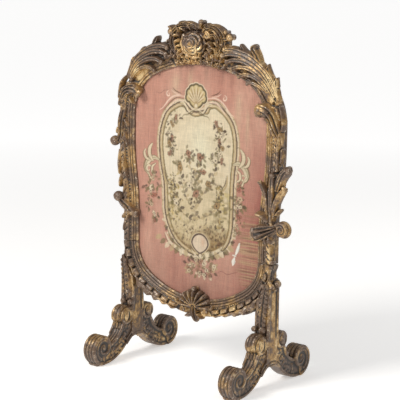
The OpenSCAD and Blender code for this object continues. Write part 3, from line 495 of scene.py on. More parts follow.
def grid_faces(rows, cols, closed=True):
    """Corner numbers of a grid of quads; closed grids wrap round each row."""
    i, j = np.meshgrid(np.arange(rows - 1), np.arange(cols if closed else cols - 1), indexing="ij")
    i, j, k = i.ravel(), j.ravel(), (j.ravel() + 1) % cols
    return np.stack([i * cols + j, i * cols + k, (i + 1) * cols + k, (i + 1) * cols + j], 1).tolist()


def lofted(rings):
    """A closed shell through rings with the same number of points."""
    rings = np.asarray(rings)
    rows, cols = rings.shape[:2]
    faces = grid_faces(rows, cols) + [list(range(cols))[::-1], list(range((rows - 1) * cols, rows * cols))]
    return rings.reshape(-1, 3), faces


def finger(rows, base=SEAT - 3, ridges=2, groove=0.25, lobes=0, cut=0.2, tip=8, root=3, across=25, lift=0.0):
    """One carved finger. Rows are [x, z, half width, forward]."""
    path, run = smooth_curve(rows)
    d = np.gradient(path[:, :2], axis=0)
    normal = np.stack([-d[:, 1], d[:, 0]], 1) / np.linalg.norm(d, axis=1)[:, None]
    t = run / run[-1]
    ends = np.sqrt(np.clip(1 - np.clip(1 - (run[-1] - run) / tip, 0, 1) ** 2, 0.01, 1))
    ends *= np.sqrt(np.clip(1 - np.clip(1 - run / root, 0, 1) ** 2, 0.09, 1))
    wide = path[:, 2] * ends
    if lobes:
        wide = wide * (1 - cut * np.abs(np.cos(np.pi * lobes * t)) ** 3)
    a = np.linspace(-1, 1, across)
    valley = np.cos(np.pi * ridges * (a + 1) / 2) ** 2
    crown = np.sqrt(np.clip(1 - np.abs(a) ** 2.4, 0, 1)) * (1 - groove * valley * (1 - a ** 4))
    top = base + (path[:, 3] - base)[:, None] * (0.35 + 0.65 * ends[:, None]) * crown
    top = top + lift * (np.abs(a) ** 2) * ends[:, None]
    spots = path[:, None, :2] + normal[:, None] * (wide[:, None] * a)[..., None]
    front = np.stack([spots[..., 0], -np.maximum(top, base + 0.5), spots[..., 1]], -1)
    under = np.stack([spots[:, ::-6, 0], np.full_like(spots[:, ::-6, 0], -base), spots[:, ::-6, 1]], -1)
    return lofted(np.concatenate([front, under], 1))


def rod(points, radius, sides=12, flutes=0, depth=0.15):
    """A round rod along points [x, y, z]; the radius may change along it."""
    p = np.asarray(points, float)
    radius = np.broadcast_to(np.asarray(radius, float), len(p))
    d = np.gradient(p, axis=0)
    d /= np.linalg.norm(d, axis=1)[:, None]
    side = np.cross(d, [0.31, 0.17, 0.93])
    side /= np.linalg.norm(side, axis=1)[:, None]
    other = np.cross(d, side)
    a = np.linspace(0, 2 * np.pi, sides, endpoint=False)
    swell = 1 + (depth * np.cos(flutes * a) if flutes else 0 * a)
    ring = (np.cos(a) * swell)[None, :, None] * side[:, None] + (np.sin(a) * swell)[None, :, None] * other[:, None]
    return lofted(p[:, None] + ring * radius[:, None, None])


def ball(centre, size, rows=10, cols=16, flutes=0, depth=0.12):
    """A ball or a squashed ball about [x, y, z]; size is one radius or three."""
    size = np.broadcast_to(np.asarray(size, float), 3)
    polar = np.linspace(0.12, np.pi - 0.12, rows)[:, None]
    a = np.linspace(0, 2 * np.pi, cols, endpoint=False)[None]
    swell = 1 + (depth * np.cos(flutes * a) if flutes else 0 * a)
    ring = np.stack([np.sin(polar) * np.cos(a) * swell, -np.cos(polar) + 0 * a, np.sin(polar) * np.sin(a) * swell], -1)
    return lofted(np.asarray(centre, float) + ring * size)


def knob(x, z, radius, forward, twist=True):
    """A small curled knob: a ball on a short stem, with a snail line on its face."""
    shells = [ball((x, -forward + radius * 0.8, z), radius), rod([(x, -SEAT + 4, z), (x, -forward + radius, z)], radius * 0.75)]
    if twist:
        a = np.linspace(0, 3.4 * np.pi, 40)
        r = radius * (0.75 - 0.62 * a / a[-1])
        shells.append(rod(np.stack([x + r * np.cos(a), -forward + r ** 2 / (2 * radius) - 0.2 + 0 * a, z + r * np.sin(a)], 1), radius * 0.13, 8))
    return shells


def sprig(x, z, angle, length, wide, forward, curl=0.7, base=SEAT - 3):
    """A small curled leaf from a point, in a direction in degrees."""
    a = math.radians(angle)
    rows = [[x + length * e * math.cos(a + curl * e * e), z + length * e * math.sin(a + curl * e * e), wide * w, forward + f]
            for e, w, f in ((0, 0.7, -7), (0.4, 1.0, -1), (0.75, 0.95, 2), (1.0, 0.6, -2))]
    return finger(rows, base, ridges=1, tip=5)


def rosette(x, z, radius, forward, petals=5, turn=0.0):
    """A small flower: petals round a raised eye."""
    deep = (forward - SEAT + 3) / 2
    shells = [ball((x, -forward + deep, z), (radius * 0.34, deep + 1, radius * 0.34), 8, 12)]
    for a in turn + np.arange(petals) * 2 * math.pi / petals:
        shells.append(ball((x + radius * 0.64 * math.cos(a), -forward + deep + radius * 0.3, z + radius * 0.64 * math.sin(a)),
                           (radius * 0.42, deep, radius * 0.42), 8, 12))
    return shells


def prism(outline, low, high, axes="xz"):
    """A slab: an outline of two coordinates, pushed through the third."""
    outline = np.asarray(outline, float)
    rings = []
    for level in (low, high):
        ring = np.full((len(outline), 3), float(level))
        for i, axis in enumerate(axes):
            ring[:, "xyz".index(axis)] = outline[:, i]
        rings.append(ring)
    return lofted(rings)


def mirrored(shells):
    """The same shells on the left half."""
    return [(v * [-1, 1, 1], [f[::-1] for f in faces]) for v, faces in shells]


print("tools ready: finger, rod, ball, knob, prism")

# %% Melting shells into one skin, and measuring its hollows
def spread(values, edges, rounds, share=0.5):
    """Each point's value drawn towards its neighbours' mean, some rounds."""
    count = np.bincount(edges.ravel(), minlength=len(values))[:, None].clip(1)
    for _ in range(rounds):
        total = np.stack([np.bincount(edges[:, 0], values[edges[:, 1], i], len(values))
                          + np.bincount(edges[:, 1], values[edges[:, 0], i], len(values)) for i in range(values.shape[1])], 1)
        values = values + share * (total / count - values)
    return values


FINE_CUT, BROAD_CUT = 0.00022, 0.0011
# places in millimetres, with their sizes, where the gilding is painted brighter and kept free of dust
BRIGHT_PATCHES = [((291, -58, 148), (15, 24, 25)), ((-250, -58, 148), (9, 20, 20)), ((292, -26, 905), (12, 20, 40)), ((272, -26, 945), (12, 20, 26)), ((8, -40, 1020), (18, 14, 14)),
         ((-62, -26, 1031), (12, 20, 20)), ((-240, -20, 930), (12, 20, 34)), ((288, -20, 420), (8, 20, 36)), ((-205, -36, 885), (14, 14, 12)),
         ((60, -20, 192), (26, 20, 9)), ((110, -20, 206), (24, 20, 10)), ((155, -20, 232), (20, 20, 12)), ((298, 5, 270), (5, 12, 34))]


def measure_hollows(mesh, dull=0.0):
    """Keeps how deep in a hollow, or how far out on a crest, each point lies."""
    count = len(mesh.vertices)
    co, normal = np.empty(count * 3), np.empty(count * 3)
    edges = np.empty(len(mesh.edges) * 2, np.int64)
    mesh.vertices.foreach_get("co", co)
    mesh.vertices.foreach_get("normal", normal)
    mesh.edges.foreach_get("vertices", edges)
    co, normal, edges = co.reshape(-1, 3), normal.reshape(-1, 3), edges.reshape(-1, 2)
    near = spread(co, edges, 5)
    wide = spread(near, edges, 40)
    sink = ((near - co) * normal).sum(1) / FINE_CUT * 0.6 + ((wide - co) * normal).sum(1) / BROAD_CUT * 0.7
    sink = spread(sink[:, None], edges, 1)[:, 0]
    bright_patch = np.full(len(co), -dull)
    for middle, size in BRIGHT_PATCHES:
        bright_patch = np.maximum(bright_patch, np.exp(-((((co / MM) - middle) / size) ** 2).sum(1)))
    for name, value in (("hollow", np.clip(sink, 0, 1)), ("crest", np.clip(-sink, 0, 1)), ("bright_patch", bright_patch)):
        mesh.attributes.new(name, "FLOAT", "POINT").data.foreach_set("value", value.astype(np.float32))


def joined(shells):
    """One list of points and one of faces from many shells."""
    verts, faces, offset = [], [], 0
    for v, f in shells:
        verts.append(np.asarray(v))
        faces += [[i + offset for i in face] for face in f]
        offset += len(v)
    return np.vstack(verts), faces


TOTAL = {"pieces": 0, "faces": 0}


def dress(obj, node, body="screen"):
    """Makes a piece stand for a solid, with its finish and its place."""
    slot = SLOT_OF[node]
    obj.data.materials.clear()
    obj.data.materials.append(GILT.get(slot) or PLAIN[slot])
    if slot in GILT and "leg" not in node and "post" not in node:
        normals = np.empty(len(obj.data.vertices) * 3)
        obj.data.vertices.foreach_get("normal", normals)
        back = np.clip((normals.reshape(-1, 3)[:, 1] - 0.45) / 0.3, 0, 1)
        obj.data.attributes.new("bare", "FLOAT", "POINT").data.foreach_set("value", back.astype(np.float32))
    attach(obj, body)
    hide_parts(node)
    TOTAL["pieces"] += 1
    TOTAL["faces"] += len(obj.data.polygons)


def carved(node, shells, voxel=1.5, rounds=1, side=1):
    """A carving for one solid: its shells melted together, in one skin."""
    if side < 0:
        shells = mirrored(shells)
    verts, faces = joined(shells)
    raw = mesh_object("raw_" + node, verts * MM, faces)
    melt = raw.modifiers.new("melt", "REMESH")
    melt.mode = "VOXEL"
    melt.voxel_size = voxel * MM
    melted = bpy.data.meshes.new_from_object(raw.evaluated_get(bpy.context.evaluated_depsgraph_get()))
    bpy.data.objects.remove(raw)
    count = len(melted.vertices)
    co, edges = np.empty(count * 3), np.empty(len(melted.edges) * 2, np.int64)
    melted.vertices.foreach_get("co", co)
    melted.edges.foreach_get("vertices", edges)
    co = spread(co.reshape(-1, 3), edges.reshape(-1, 2), rounds)
    melted.vertices.foreach_set("co", co.ravel())
    melted.update()
    melted.polygons.foreach_set("use_smooth", [True] * len(melted.polygons))
    melted.name = "carved_" + node
    obj = bpy.data.objects.new("carved_" + node, melted)
    bpy.context.scene.collection.objects.link(obj)
    measure_hollows(melted, 0.0 if "leg" in node[-4:] or "post" in node else 0.26)
    dress(obj, node)
    print(f"{node}: {len(shells)} cuts, {len(melted.polygons)} faces")
    return obj


# %% [markdown]
# ## The moulding
# The frame's moulding is run round the opening: three fine reeds next to the
# cloth, a narrow hollow, and a fat outer roll. Where a carving is planted on
# it, the moulding was cut back to a flat seat, and so it is here.

# %% Section of the moulding
REED_R, ROLL_R, ROLL_TOP = 4, 12, 25
ROLL_U = RAIL_W - ROLL_R
REED_STEP = (ROLL_TOP - SEAT) * 0.27
ALL_REEDS, TWO_REEDS = 6.2 * REED_R, 4.1 * REED_R
LIP, LIP_F = 10, 4
FLUTES = np.linspace(SEAT - 3, -BACK + 1, 26)
ACROSS = np.concatenate([np.linspace(0.3, 25.2, 40), np.linspace(26, 31.5, 7), np.linspace(32.2, 55.9, 30)])


def front_face(u):
    """Forward height of the plain moulding at a distance from the opening."""
    f = np.full(u.shape, float(SEAT - 2))
    for i in range(3):
        middle = 2 * REED_R * (i + 0.55)
        arch = np.sqrt(np.clip(1 - ((u - middle) / (REED_R * 0.98)) ** 2, 0, 1))
        f = np.maximum(f, SEAT - 1 + i * REED_STEP / 2 + REED_R * arch - 2.2 * (arch == 0))
    cove = 13 + 3 * ((u - 28.6) / 3.4) ** 2
    f = np.where((u > 25.2) & (u < 32), np.minimum(cove, 16), f)
    roll = ROLL_TOP - ROLL_R + np.sqrt(np.clip(ROLL_R ** 2 - (u - ROLL_U) ** 2, 0, None))
    return np.where(u >= 32, np.maximum(roll, SEAT - 1), f)


PLAIN_FACE = front_face(ACROSS)


def seat_share(seats, s, ease):
    """How far from the opening the moulding is kept, smooth at the ends of a seat."""
    keep = np.full(s.shape, 70.0)
    for first, last, width in seats:
        inside = np.clip(np.minimum(s - first, last - s) / ease + 0.5, 0, 1)
        keep = np.minimum(keep, 70 - (70 - width) * inside)
    return keep


def rail(node, s, side, seats, width=RAIL_W, carve=None, low=None, high=None):
    """A length of moulding swept along places s, as one closed skin."""
    width = np.broadcast_to(np.asarray(width, float), s.shape)
    keep = seat_share(seats, s, 0.16)
    u = ACROSS[None, :] * np.ones((len(s), 1))
    outer = ACROSS > 50
    u[:, outer] = 50 + (ACROSS[outer] - 50) * ((width[:, None] - 50) / (RAIL_W - 50))
    f = np.tile(PLAIN_FACE, (len(s), 1))
    if carve:
        f = carve(s[:, None], ACROSS[None, :], f)
    f = np.where(u > keep[:, None], np.minimum(f, SEAT), f)
    flute = 1.7 * np.abs(np.sin(np.linspace(0, 3 * np.pi, len(FLUTES)))) - 1.5
    back_u = np.hstack([width[:, None] + flute, np.stack([width - 1, np.full(len(s), LIP), np.full(len(s), LIP), np.full(len(s), 0.3)], 1)])
    back_f = np.tile([*FLUTES, -BACK, -BACK, LIP_F, LIP_F], (len(s), 1))
    u, f = np.hstack([u, back_u]), np.hstack([f, back_f])
    spot = at(np.repeat(s[:, None], u.shape[1], 1), u)
    ring = np.stack([side * spot[..., 0], -f, spot[..., 1]], -1)
    if low is not None:
        ring[..., 2] = np.maximum(ring[..., 2], low)
    if high is not None:
        ring[..., 2] = np.minimum(ring[..., 2], high)
    return ring


def swept(node, ring):
    """The closed skin of a swept rail, dressed as its solid."""
    verts, faces = lofted(ring)
    obj = mesh_object("moulding_" + node, verts * MM, faces)
    measure_hollows(obj.data)
    dress(obj, node)
    print(f"{node}: {len(ring)} stations, {len(faces)} faces")
    return obj

# %% The four rails
BELLY_RUN = math.radians(BELLY_A + 90) * (BELLY_R + ROLL_U)
CORNER_RUN = math.radians(-BELLY_A) * (CORNER_R + ROLL_U)
POST_X, POST_W = SIDE_X + 11, 48
GADROONS, FIRST_GADROON, APRON = 8, 2, 20
PITCH = (BELLY_RUN + 0.8 * CORNER_RUN) / (GADROONS + FIRST_GADROON)
SEATS_L = [(6.5, 7.45, TWO_REEDS), (7.4, 8.3, 0)]
SEATS_R = [(3.4, 4.5, TWO_REEDS), (6.3, 7.45, TWO_REEDS), (7.4, 8.3, 0)]
STATION = 2.0


def stations(first, last, step=STATION):
    """Places from first to last in even steps along the middle of the moulding."""
    s = np.linspace(first, last, 4000)
    spot = at(s, 40)
    run = np.concatenate([[0], np.cumsum(np.linalg.norm(np.diff(spot, axis=0), axis=1))])
    even = np.linspace(0, run[-1], int(run[-1] / step) + 1)
    return np.interp(even, run, s), even


def bump(x, low, high):
    """A smooth hill between low and high, 1 at its middle."""
    return np.sin(np.pi * np.clip((x - low) / (high - low), 0, 1)) ** 2


def leafy(run, pitch=20.0, deep=5.0):
    """Small leaves cut along the outer roll, leaning with the run of the frame."""
    def cut(s, u, f):
        phase = run[:, None] / pitch + (u - ROLL_U) / 30 + 0.25 * np.sin(run[:, None] / 37)
        saw = phase - np.floor(phase)
        tongue = np.clip(np.minimum(saw / 0.75, (1 - saw) / 0.25), 0, 1) ** 0.6
        vein = 1.3 * np.exp(-((u - ROLL_U + 3 * np.sin(2 * np.pi * saw)) / 1.6) ** 2)
        beads = 1.8 * bump(u, 24.5, 33) * (0.5 + 0.5 * np.sin(2 * np.pi * run[:, None] / 10))
        return f - deep * (1 - tongue) * bump(u, 31, 57) - vein + beads
    return cut


def low_width(s):
    """The bottom rail deepens towards each post, and stops at the post's face."""
    f = np.clip((s - 0.4) / 0.7, 0, 1)
    wide = RAIL_W + APRON * f * f * (3 - 2 * f)
    room = (POST_X - POST_W / 2 - CORNER_X) / np.cos(np.radians(BELLY_A * (2 - np.clip(s, 1, 2)))) - CORNER_R
    return np.where(s < 1, wide, np.maximum(RAIL_W, np.minimum(wide, room)))


def gadrooned(run, start, end):
    """Block-like gadroons on the roll, with dark gaps, inside a wavy rim."""
    def cut(s, u, f):
        g = run[:, None] / PITCH - np.floor(run[:, None] / PITCH)
        inside = np.clip(np.minimum(run[:, None] - start, end - run[:, None]) / 8 + 0.5, 0, 1)
        block = np.clip(np.minimum(g, 1 - g) / 0.20, 0, 1) ** 0.8
        wave = 1.5 * np.cos(2 * np.pi * (g - 0.5))
        rim = SEAT + 13 * np.sqrt(np.clip(1 - ((u - 51.5 - wave) / 5) ** 2, 0, 1))
        blocks = SEAT - 3 + (f - SEAT + 3) * (0.15 + 0.85 * block) * np.clip((47.5 - u) / 3, 0, 1)
        beads = 1.5 * bump(u, 24.5, 32) * (0.5 + 0.5 * np.sin(2 * np.pi * run[:, None] / 9))
        cutting = np.where(u > 31.5, np.maximum(blocks, np.where(u > 46, rim, 0)), f + beads)
        return f + (cutting - f) * inside
    return cut


s_low, run_low = stations(0.0, 1.98)
wave = run_low / PITCH
edge_notch = 2.2 * np.cos(2 * np.pi * wave) * (wave > FIRST_GADROON)
ring_r = rail("bottom_rail", s_low, 1, [(-1, 0.3, 0)], low_width(s_low) - edge_notch - 1.2,
              gadrooned(run_low, FIRST_GADROON * PITCH, (GADROONS + FIRST_GADROON) * PITCH), high=CORNER[1])
ring_l = ring_r[:0:-1] * [-1, 1, 1]
bottom_rail = swept("bottom_rail", np.concatenate([ring_l, ring_r]))

for node, side, seats in (("right_stile", 1, SEATS_R), ("left_stile", -1, SEATS_L)):
    s, run = stations(2.0, 5.999)
    ring = rail(node, s, side, seats, RAIL_W, leafy(run), low=CORNER[1], high=SHOULDER[1])
    swept(node, ring if side > 0 else ring[::-1])

s, run = stations(6.0, 7.999)
ring_r = rail("top_rail", s, 1, SEATS_R, RAIL_W, leafy(run), low=SHOULDER[1])
ring_l = rail("top_rail", s, -1, SEATS_L, RAIL_W, leafy(run), low=SHOULDER[1])[:-1]
top_rail = swept("top_rail", np.concatenate([ring_r, ring_l[::-1]]))

# %% [markdown]
# ## Leaves on the shoulders
# The two big acanthus leaves start at the shoulders and lie along the arch,
# each a fan of four or five long fingers. Their ends roll over near the crest
# and leave dark gaps, their inner lobes hang over the reeds, and small tips
# stand out from the outer edge. The left one is a little tighter.

# %% Top leaves
def rolled(rows, size, ridges=2, groove=0.16):
    """A finger whose end rolls over into a small scroll across it."""
    (x0, z0), (x1, z1) = rows[-2][:2], rows[-1][:2]
    d = np.array([x1 - x0, z1 - z0]) / math.hypot(x1 - x0, z1 - z0)
    across = np.array([-d[1], d[0]]) * rows[-1][2] * 0.95
    forward = rows[-1][3] - size * 0.9
    ends = [(x1 - a * across[0], -forward, z1 - a * across[1]) for a in (-1, -0.4, 0.4, 1)]
    return [finger(rows, ridges=ridges, groove=groove), rod(ends, [size * 0.6, size, size, size * 0.6])]


FINGERS_R = [on_frame(c) for c in (
    [[6.34, 62, 6, 20], [6.62, 76, 9, 28], [6.95, 80, 11, 33], [7.26, 76, 11, 37], [7.44, 66, 8, 38]],
    [[6.4, 62, 6, 22], [6.75, 69, 9, 30], [7.08, 69, 11, 36], [7.32, 60, 10, 40], [7.45, 47, 8, 39]],
    [[6.42, 57, 6, 22], [6.72, 60, 9, 30], [7.0, 58, 11, 36], [7.22, 48, 10, 39], [7.35, 33, 8, 37]],
    [[6.4, 52, 6, 22], [6.64, 52, 9, 29], [6.9, 48, 10, 35], [7.1, 36, 9.5, 38], [7.22, 19, 8, 36]],
    [[6.36, 46, 6, 22], [6.56, 44, 8, 28], [6.78, 38, 9.5, 33], [6.95, 25, 9, 35], [7.05, 8, 7.5, 33]],
    [[6.34, 38, 5, 20], [6.5, 35, 7, 26], [6.66, 28, 8, 30], [6.8, 16, 7.5, 31], [6.86, 3, 6, 28]])]
TIPS_R = [on_frame(c) for c in (
    [[6.84, 80, 8, 24], [6.93, 94, 12, 31], [7.0, 107, 12, 36], [6.97, 118, 6, 36]],
    [[6.66, 78, 8, 22], [6.74, 88, 6, 25], [6.77, 98, 3, 23]],
    [[6.5, 74, 8, 22], [6.57, 86, 6, 25], [6.59, 95, 3, 23]],
    [[7.1, 82, 8, 26], [7.2, 93, 6, 28], [7.24, 99, 3, 26]])]
LEAF_R = on_frame([[6.3, 56, 13, 16], [6.55, 58, 24, 18], [6.85, 60, 29, 20], [7.2, 58, 30, 21], [7.42, 58, 24, 21]])
FINGERS_L = [on_frame(c) for c in (
    [[6.5, 64, 6, 20], [6.78, 76, 10, 29], [7.05, 80, 12, 34], [7.3, 74, 11, 38], [7.45, 61, 8, 38]],
    [[6.52, 58, 6, 22], [6.8, 66, 10, 31], [7.06, 66, 12, 37], [7.28, 57, 10.5, 40], [7.4, 42, 8, 38]],
    [[6.52, 52, 6, 22], [6.76, 54, 9, 30], [6.98, 50, 11, 36], [7.16, 39, 10, 38], [7.26, 23, 8, 36]],
    [[6.5, 45, 6, 20], [6.68, 44, 8, 27], [6.86, 36, 9, 32], [6.98, 22, 8.5, 33], [7.04, 7, 7, 30]])]
TIPS_L = [on_frame(c) for c in (
    [[7.12, 80, 9, 24], [7.22, 94, 11, 31], [7.3, 106, 6, 33]],
    [[6.84, 76, 8, 22], [6.93, 87, 6, 25], [6.98, 95, 3, 23]],
    [[6.66, 72, 8, 22], [6.74, 82, 6, 25], [6.78, 90, 3, 23]])]
LEAF_L = on_frame([[6.5, 52, 12, 16], [6.74, 56, 22, 18], [7.05, 58, 28, 20], [7.3, 57, 29, 21], [7.48, 58, 22, 21]])


def big_leaf(body, fingers, tips):
    """A leaf's body, its curled fingers and its outer tips."""
    shells = [finger(body, ridges=5, groove=0.2, across=41)]
    for i, rows in enumerate(fingers):
        shells += rolled(rows, (7, 7, 6.5, 6, 5.5, 5)[i])
    return shells + [finger(rows, ridges=1 + (rows[0][2] > 7), groove=0.3) for rows in tips]


carved("top_leaf_right", big_leaf(LEAF_R, FINGERS_R, TIPS_R))
carved("top_leaf_left", big_leaf(LEAF_L, FINGERS_L, TIPS_L), side=-1)

# %% [markdown]
# ## Collars, curls and clasps
# Below each big leaf a banded scroll wraps over the reeds like a collar. On
# the right a large calyx opens upwards at mid height, over a ribbed volute
# whose clasp crosses the reeds. On the left a long C-scroll runs down the
# outer side to a knob, and a smaller clasp sits below it.

# %% Side carvings
def spiral(x, z, radius, turns, forward, start, thick, wind=1, rise=3.0, flutes=0):
    """A snail scroll in the frame's plane, wound inwards from a place on its rim."""
    a = np.linspace(0, turns * 2 * np.pi, int(turns * 44))
    share = 1 - a / a[-1]
    r = (radius - thick) * (0.16 + 0.84 * share ** 0.9)
    angle = math.radians(start) + wind * a
    path = np.stack([x + r * np.cos(angle), -(forward - thick + rise * (1 - share)), z + r * np.sin(angle)], 1)
    return [rod(path, thick * (0.45 + 0.55 * share), 14, flutes)]


def disc(x, z, radius, forward):
    """A low round cushion that backs a scroll."""
    return ball((x, -(SEAT - 2), z), (radius, forward - SEAT + 2, radius), 12, 28)


def leaves(*rows):
    """Single-ridged fingers from rows of places on the frame."""
    return [finger(on_frame(r), ridges=1) for r in rows]


COLLAR_R = on_frame([[5.2, 58, 8, 24], [5.6, 54, 13, 31], [5.95, 44, 18, 37], [6.18, 28, 22, 41], [6.30, 8, 23, 44], [6.34, -8, 20, 40]])
COLLAR_L = on_frame([[6.1, 62, 9, 22], [6.3, 50, 16, 32], [6.42, 30, 19, 39], [6.48, 8, 18, 42], [6.47, -13, 14, 40]])
shells = [finger(COLLAR_R, ridges=3, groove=0.35), *rolled(on_frame([[6.2, 22, 17, 41], [6.29, 6, 21, 44], [6.32, -5, 21, 42]]), 17), ball((at(6.32, -4)[0], -30, at(6.32, -4)[1]), (17, 15, 20))]
shells += leaves([[5.2, 46, 6, 22], [5.6, 40, 8, 29], [5.9, 30, 8, 33], [6.08, 16, 6, 30]], [[5.9, 62, 6, 24], [6.1, 68, 7, 29], [6.3, 66, 5, 27]],
                 [[6.0, 30, 5, 26], [6.1, 14, 6, 30], [6.16, 2, 5, 28]])
carved("shoulder_leaf_right", shells)
shells = [finger(COLLAR_L, ridges=4, groove=0.3), *rolled(on_frame([[6.42, 30, 15, 38], [6.48, 6, 16, 42], [6.47, -13, 14, 39]]), 10)]
shells += leaves([[6.2, 66, 7, 24], [6.4, 70, 8, 30], [6.54, 66, 5, 27]], [[6.3, 24, 6, 28], [6.24, 8, 6, 30], [6.2, -3, 5, 26]])
carved("shoulder_leaf_left", shells, side=-1)

CALYX = on_frame([[3.3, 46, 16, 20], [3.6, 46, 22, 24], [3.95, 48, 27, 26], [4.25, 54, 27, 27], [4.45, 64, 20, 28]])
shells = [finger(CALYX, ridges=3, groove=0.2, across=41)]
for rows, size in (([[3.35, 34, 7, 22], [3.7, 28, 10, 28], [4.0, 18, 11, 33], [4.22, -1, 8, 34]], 6),
                   ([[3.4, 47, 7, 24], [3.8, 46, 11, 32], [4.15, 44, 13, 38], [4.44, 42, 10, 38]], 7.5),
                   ([[3.4, 55, 7, 24], [3.72, 60, 10, 32], [4.02, 71, 10, 36], [4.22, 86, 7, 33]], 5.5)):
    shells += rolled(on_frame(rows), size, 2, 0.12)
shells += [finger(on_frame([[4.1, 58, 11, 32], [4.4, 70, 15, 39], [4.58, 86, 14, 42], [4.6, 99, 11, 37]]), ridges=3, groove=0.2)]
shells += rolled(on_frame([[4.45, 78, 11, 38], [4.58, 90, 12, 42], [4.6, 99, 11, 40]]), 9)
shells += leaves([[3.5, 64, 6, 24], [3.64, 76, 6, 27], [3.7, 86, 4, 24]], [[4.7, 62, 7, 24], [4.9, 66, 7, 28], [5.1, 64, 5, 26]],
                 [[4.62, 52, 8, 26], [5.0, 52, 9, 31], [5.5, 54, 8, 30], [5.9, 56, 6, 26]])
carved("side_curl_right", shells)

CURL = on_frame([[6.14, 40, 12, 24], [5.9, 44, 14, 32], [5.5, 47, 14, 34], [5.0, 48, 13, 33], [4.84, 54, 11, 33], [4.76, 64, 10, 30]])
shells = [finger(CURL, ridges=3, groove=0.35), *knob(*at(4.8, 71), 17, 36)]
shells += leaves([[5.75, 32, 7, 26], [5.5, 22, 7, 29], [5.3, 18, 5, 25]], [[5.3, 60, 7, 26], [5.05, 64, 6, 28], [4.95, 66, 4, 24]],
                 [[5.1, 34, 7, 26], [4.85, 26, 7, 28], [4.66, 22, 5, 24]], [[4.62, 54, 8, 24], [4.3, 58, 9, 31], [4.0, 62, 6, 28]],
                 [[4.45, 40, 7, 26], [4.15, 36, 8, 31], [3.9, 30, 5, 27]], [[4.05, 52, 8, 26], [3.85, 60, 8, 32], [3.66, 66, 5, 28]],
                 [[3.85, 40, 7, 26], [3.65, 44, 8, 31], [3.48, 52, 5, 28]])
carved("side_curl_left", shells, side=-1)

CLASP_L = on_frame([[3.4, 74, 9, 26], [3.28, 62, 14, 33], [3.16, 38, 17, 38], [3.05, 14, 15, 41], [3.0, -6, 11, 38]])
shells = [finger(CLASP_L, ridges=3, groove=0.3), *knob(*at(3.42, 72), 17.5, 38)]
shells += rolled(on_frame([[3.12, 28, 12, 36], [3.03, 6, 13, 41], [3.0, -6, 11, 38]]), 9)
shells += leaves([[3.34, 44, 7, 26], [3.46, 36, 7, 29], [3.54, 28, 5, 25]], [[2.98, 44, 8, 26], [2.86, 54, 8, 30], [2.74, 58, 5, 27]],
                 [[2.96, 34, 7, 26], [2.84, 36, 7, 30], [2.72, 42, 5, 26]], [[2.72, 48, 7, 24], [2.5, 50, 8, 29], [2.3, 54, 5, 26]])
carved("side_leaf_left", shells, side=-1)

CLASP_R = on_frame([[3.2, 70, 12, 28], [3.12, 48, 18, 37], [3.04, 24, 26, 43], [2.98, 4, 28, 43], [2.97, -8, 22, 37]])
volute_x, volute_z = at(3.17, 91)
shells = [finger(CLASP_R, ridges=4, groove=0.35), disc(volute_x, volute_z, 27, 20), *spiral(volute_x, volute_z, 28, 1.9, 30, 150, 6.5, -1, flutes=3)]
shells += [ball((volute_x, -28, volute_z), 6.5)]
shells += rolled(on_frame([[3.04, 26, 17, 40], [2.99, 8, 22, 44], [2.97, -5, 22, 40]]), 12)
shells += leaves([[3.3, 44, 12, 32], [3.42, 28, 12, 38], [3.46, 6, 11, 40], [3.45, -5, 8, 36]])
shells += leaves([[2.96, 46, 8, 28], [2.84, 50, 9, 32], [2.7, 56, 6, 29]], [[2.95, 34, 7, 26], [2.8, 34, 8, 31], [2.6, 38, 5, 27]],
                 [[2.66, 50, 7, 26], [2.45, 54, 8, 30], [2.25, 60, 5, 28]], [[3.3, 52, 8, 28], [3.5, 50, 8, 32], [3.7, 46, 5, 28]])
shells += knob(*at(2.1, 61), 7, 26)
carved("side_volute_right", shells)

# %% [markdown]
# ## The crest
# A round boss in a raised ring sits over the arch. A lobed leaf wraps round
# it from the left, a reeded C-scroll with a deep eye from the right, and a
# knob tops it. Small flowers hang in a row down to the opening.

# %% Crest carvings
def sight_z(x):
    """Height of the opening's edge above a place across."""
    return ARCH[1] + math.sqrt(ARCH_R ** 2 - x ** 2)


BOSS_X, BOSS_Z, BOSS_R, BOSS_F, BOSS_WIDE = -9, FRAME_TOP + 9, 36, 50, 1.16
shells = [ball((BOSS_X, -14, BOSS_Z), (BOSS_R * BOSS_WIDE, BOSS_F - 14, BOSS_R), 24, 44), prism(on_arc((BOSS_X, BOSS_Z), 33, np.linspace(0, 350, 36)), -16, -SEAT + 2)]
for count, middle_r, fat, start in ((3, 8, 4.2, 0.3), (5, 17, 4.6, 0.0), (7, 26, 4.8, 0.5), (9, 33, 4.2, 0.1)):
    for k in range(count):
        e = np.linspace(-1, 1, 14)
        a = start + (k + 0.62 * e) * 2 * math.pi / count
        turn = 1 if (k + count) % 2 else -1
        r = np.clip(middle_r + 3.5 * e * turn + 4.0 * (1 - e * e), 1, BOSS_R - 1)
        y = -14 - (BOSS_F - 15) * np.sqrt(1 - (r / BOSS_R) ** 2)
        shells.append(rod(np.stack([BOSS_X + BOSS_WIDE * r * np.cos(a), y, BOSS_Z + r * np.sin(a)], 1), fat * (1 - 0.6 * e * e), 10))
a = np.radians(np.linspace(140, 300, 40))
shells.append(rod(np.stack([BOSS_X + 48 * np.cos(a), -24 + 0 * a, BOSS_Z + 42 * np.sin(a)], 1), 5.5 + 1.2 * np.cos(12 * a), 12))
carved("crest_boss", shells, 1.3)

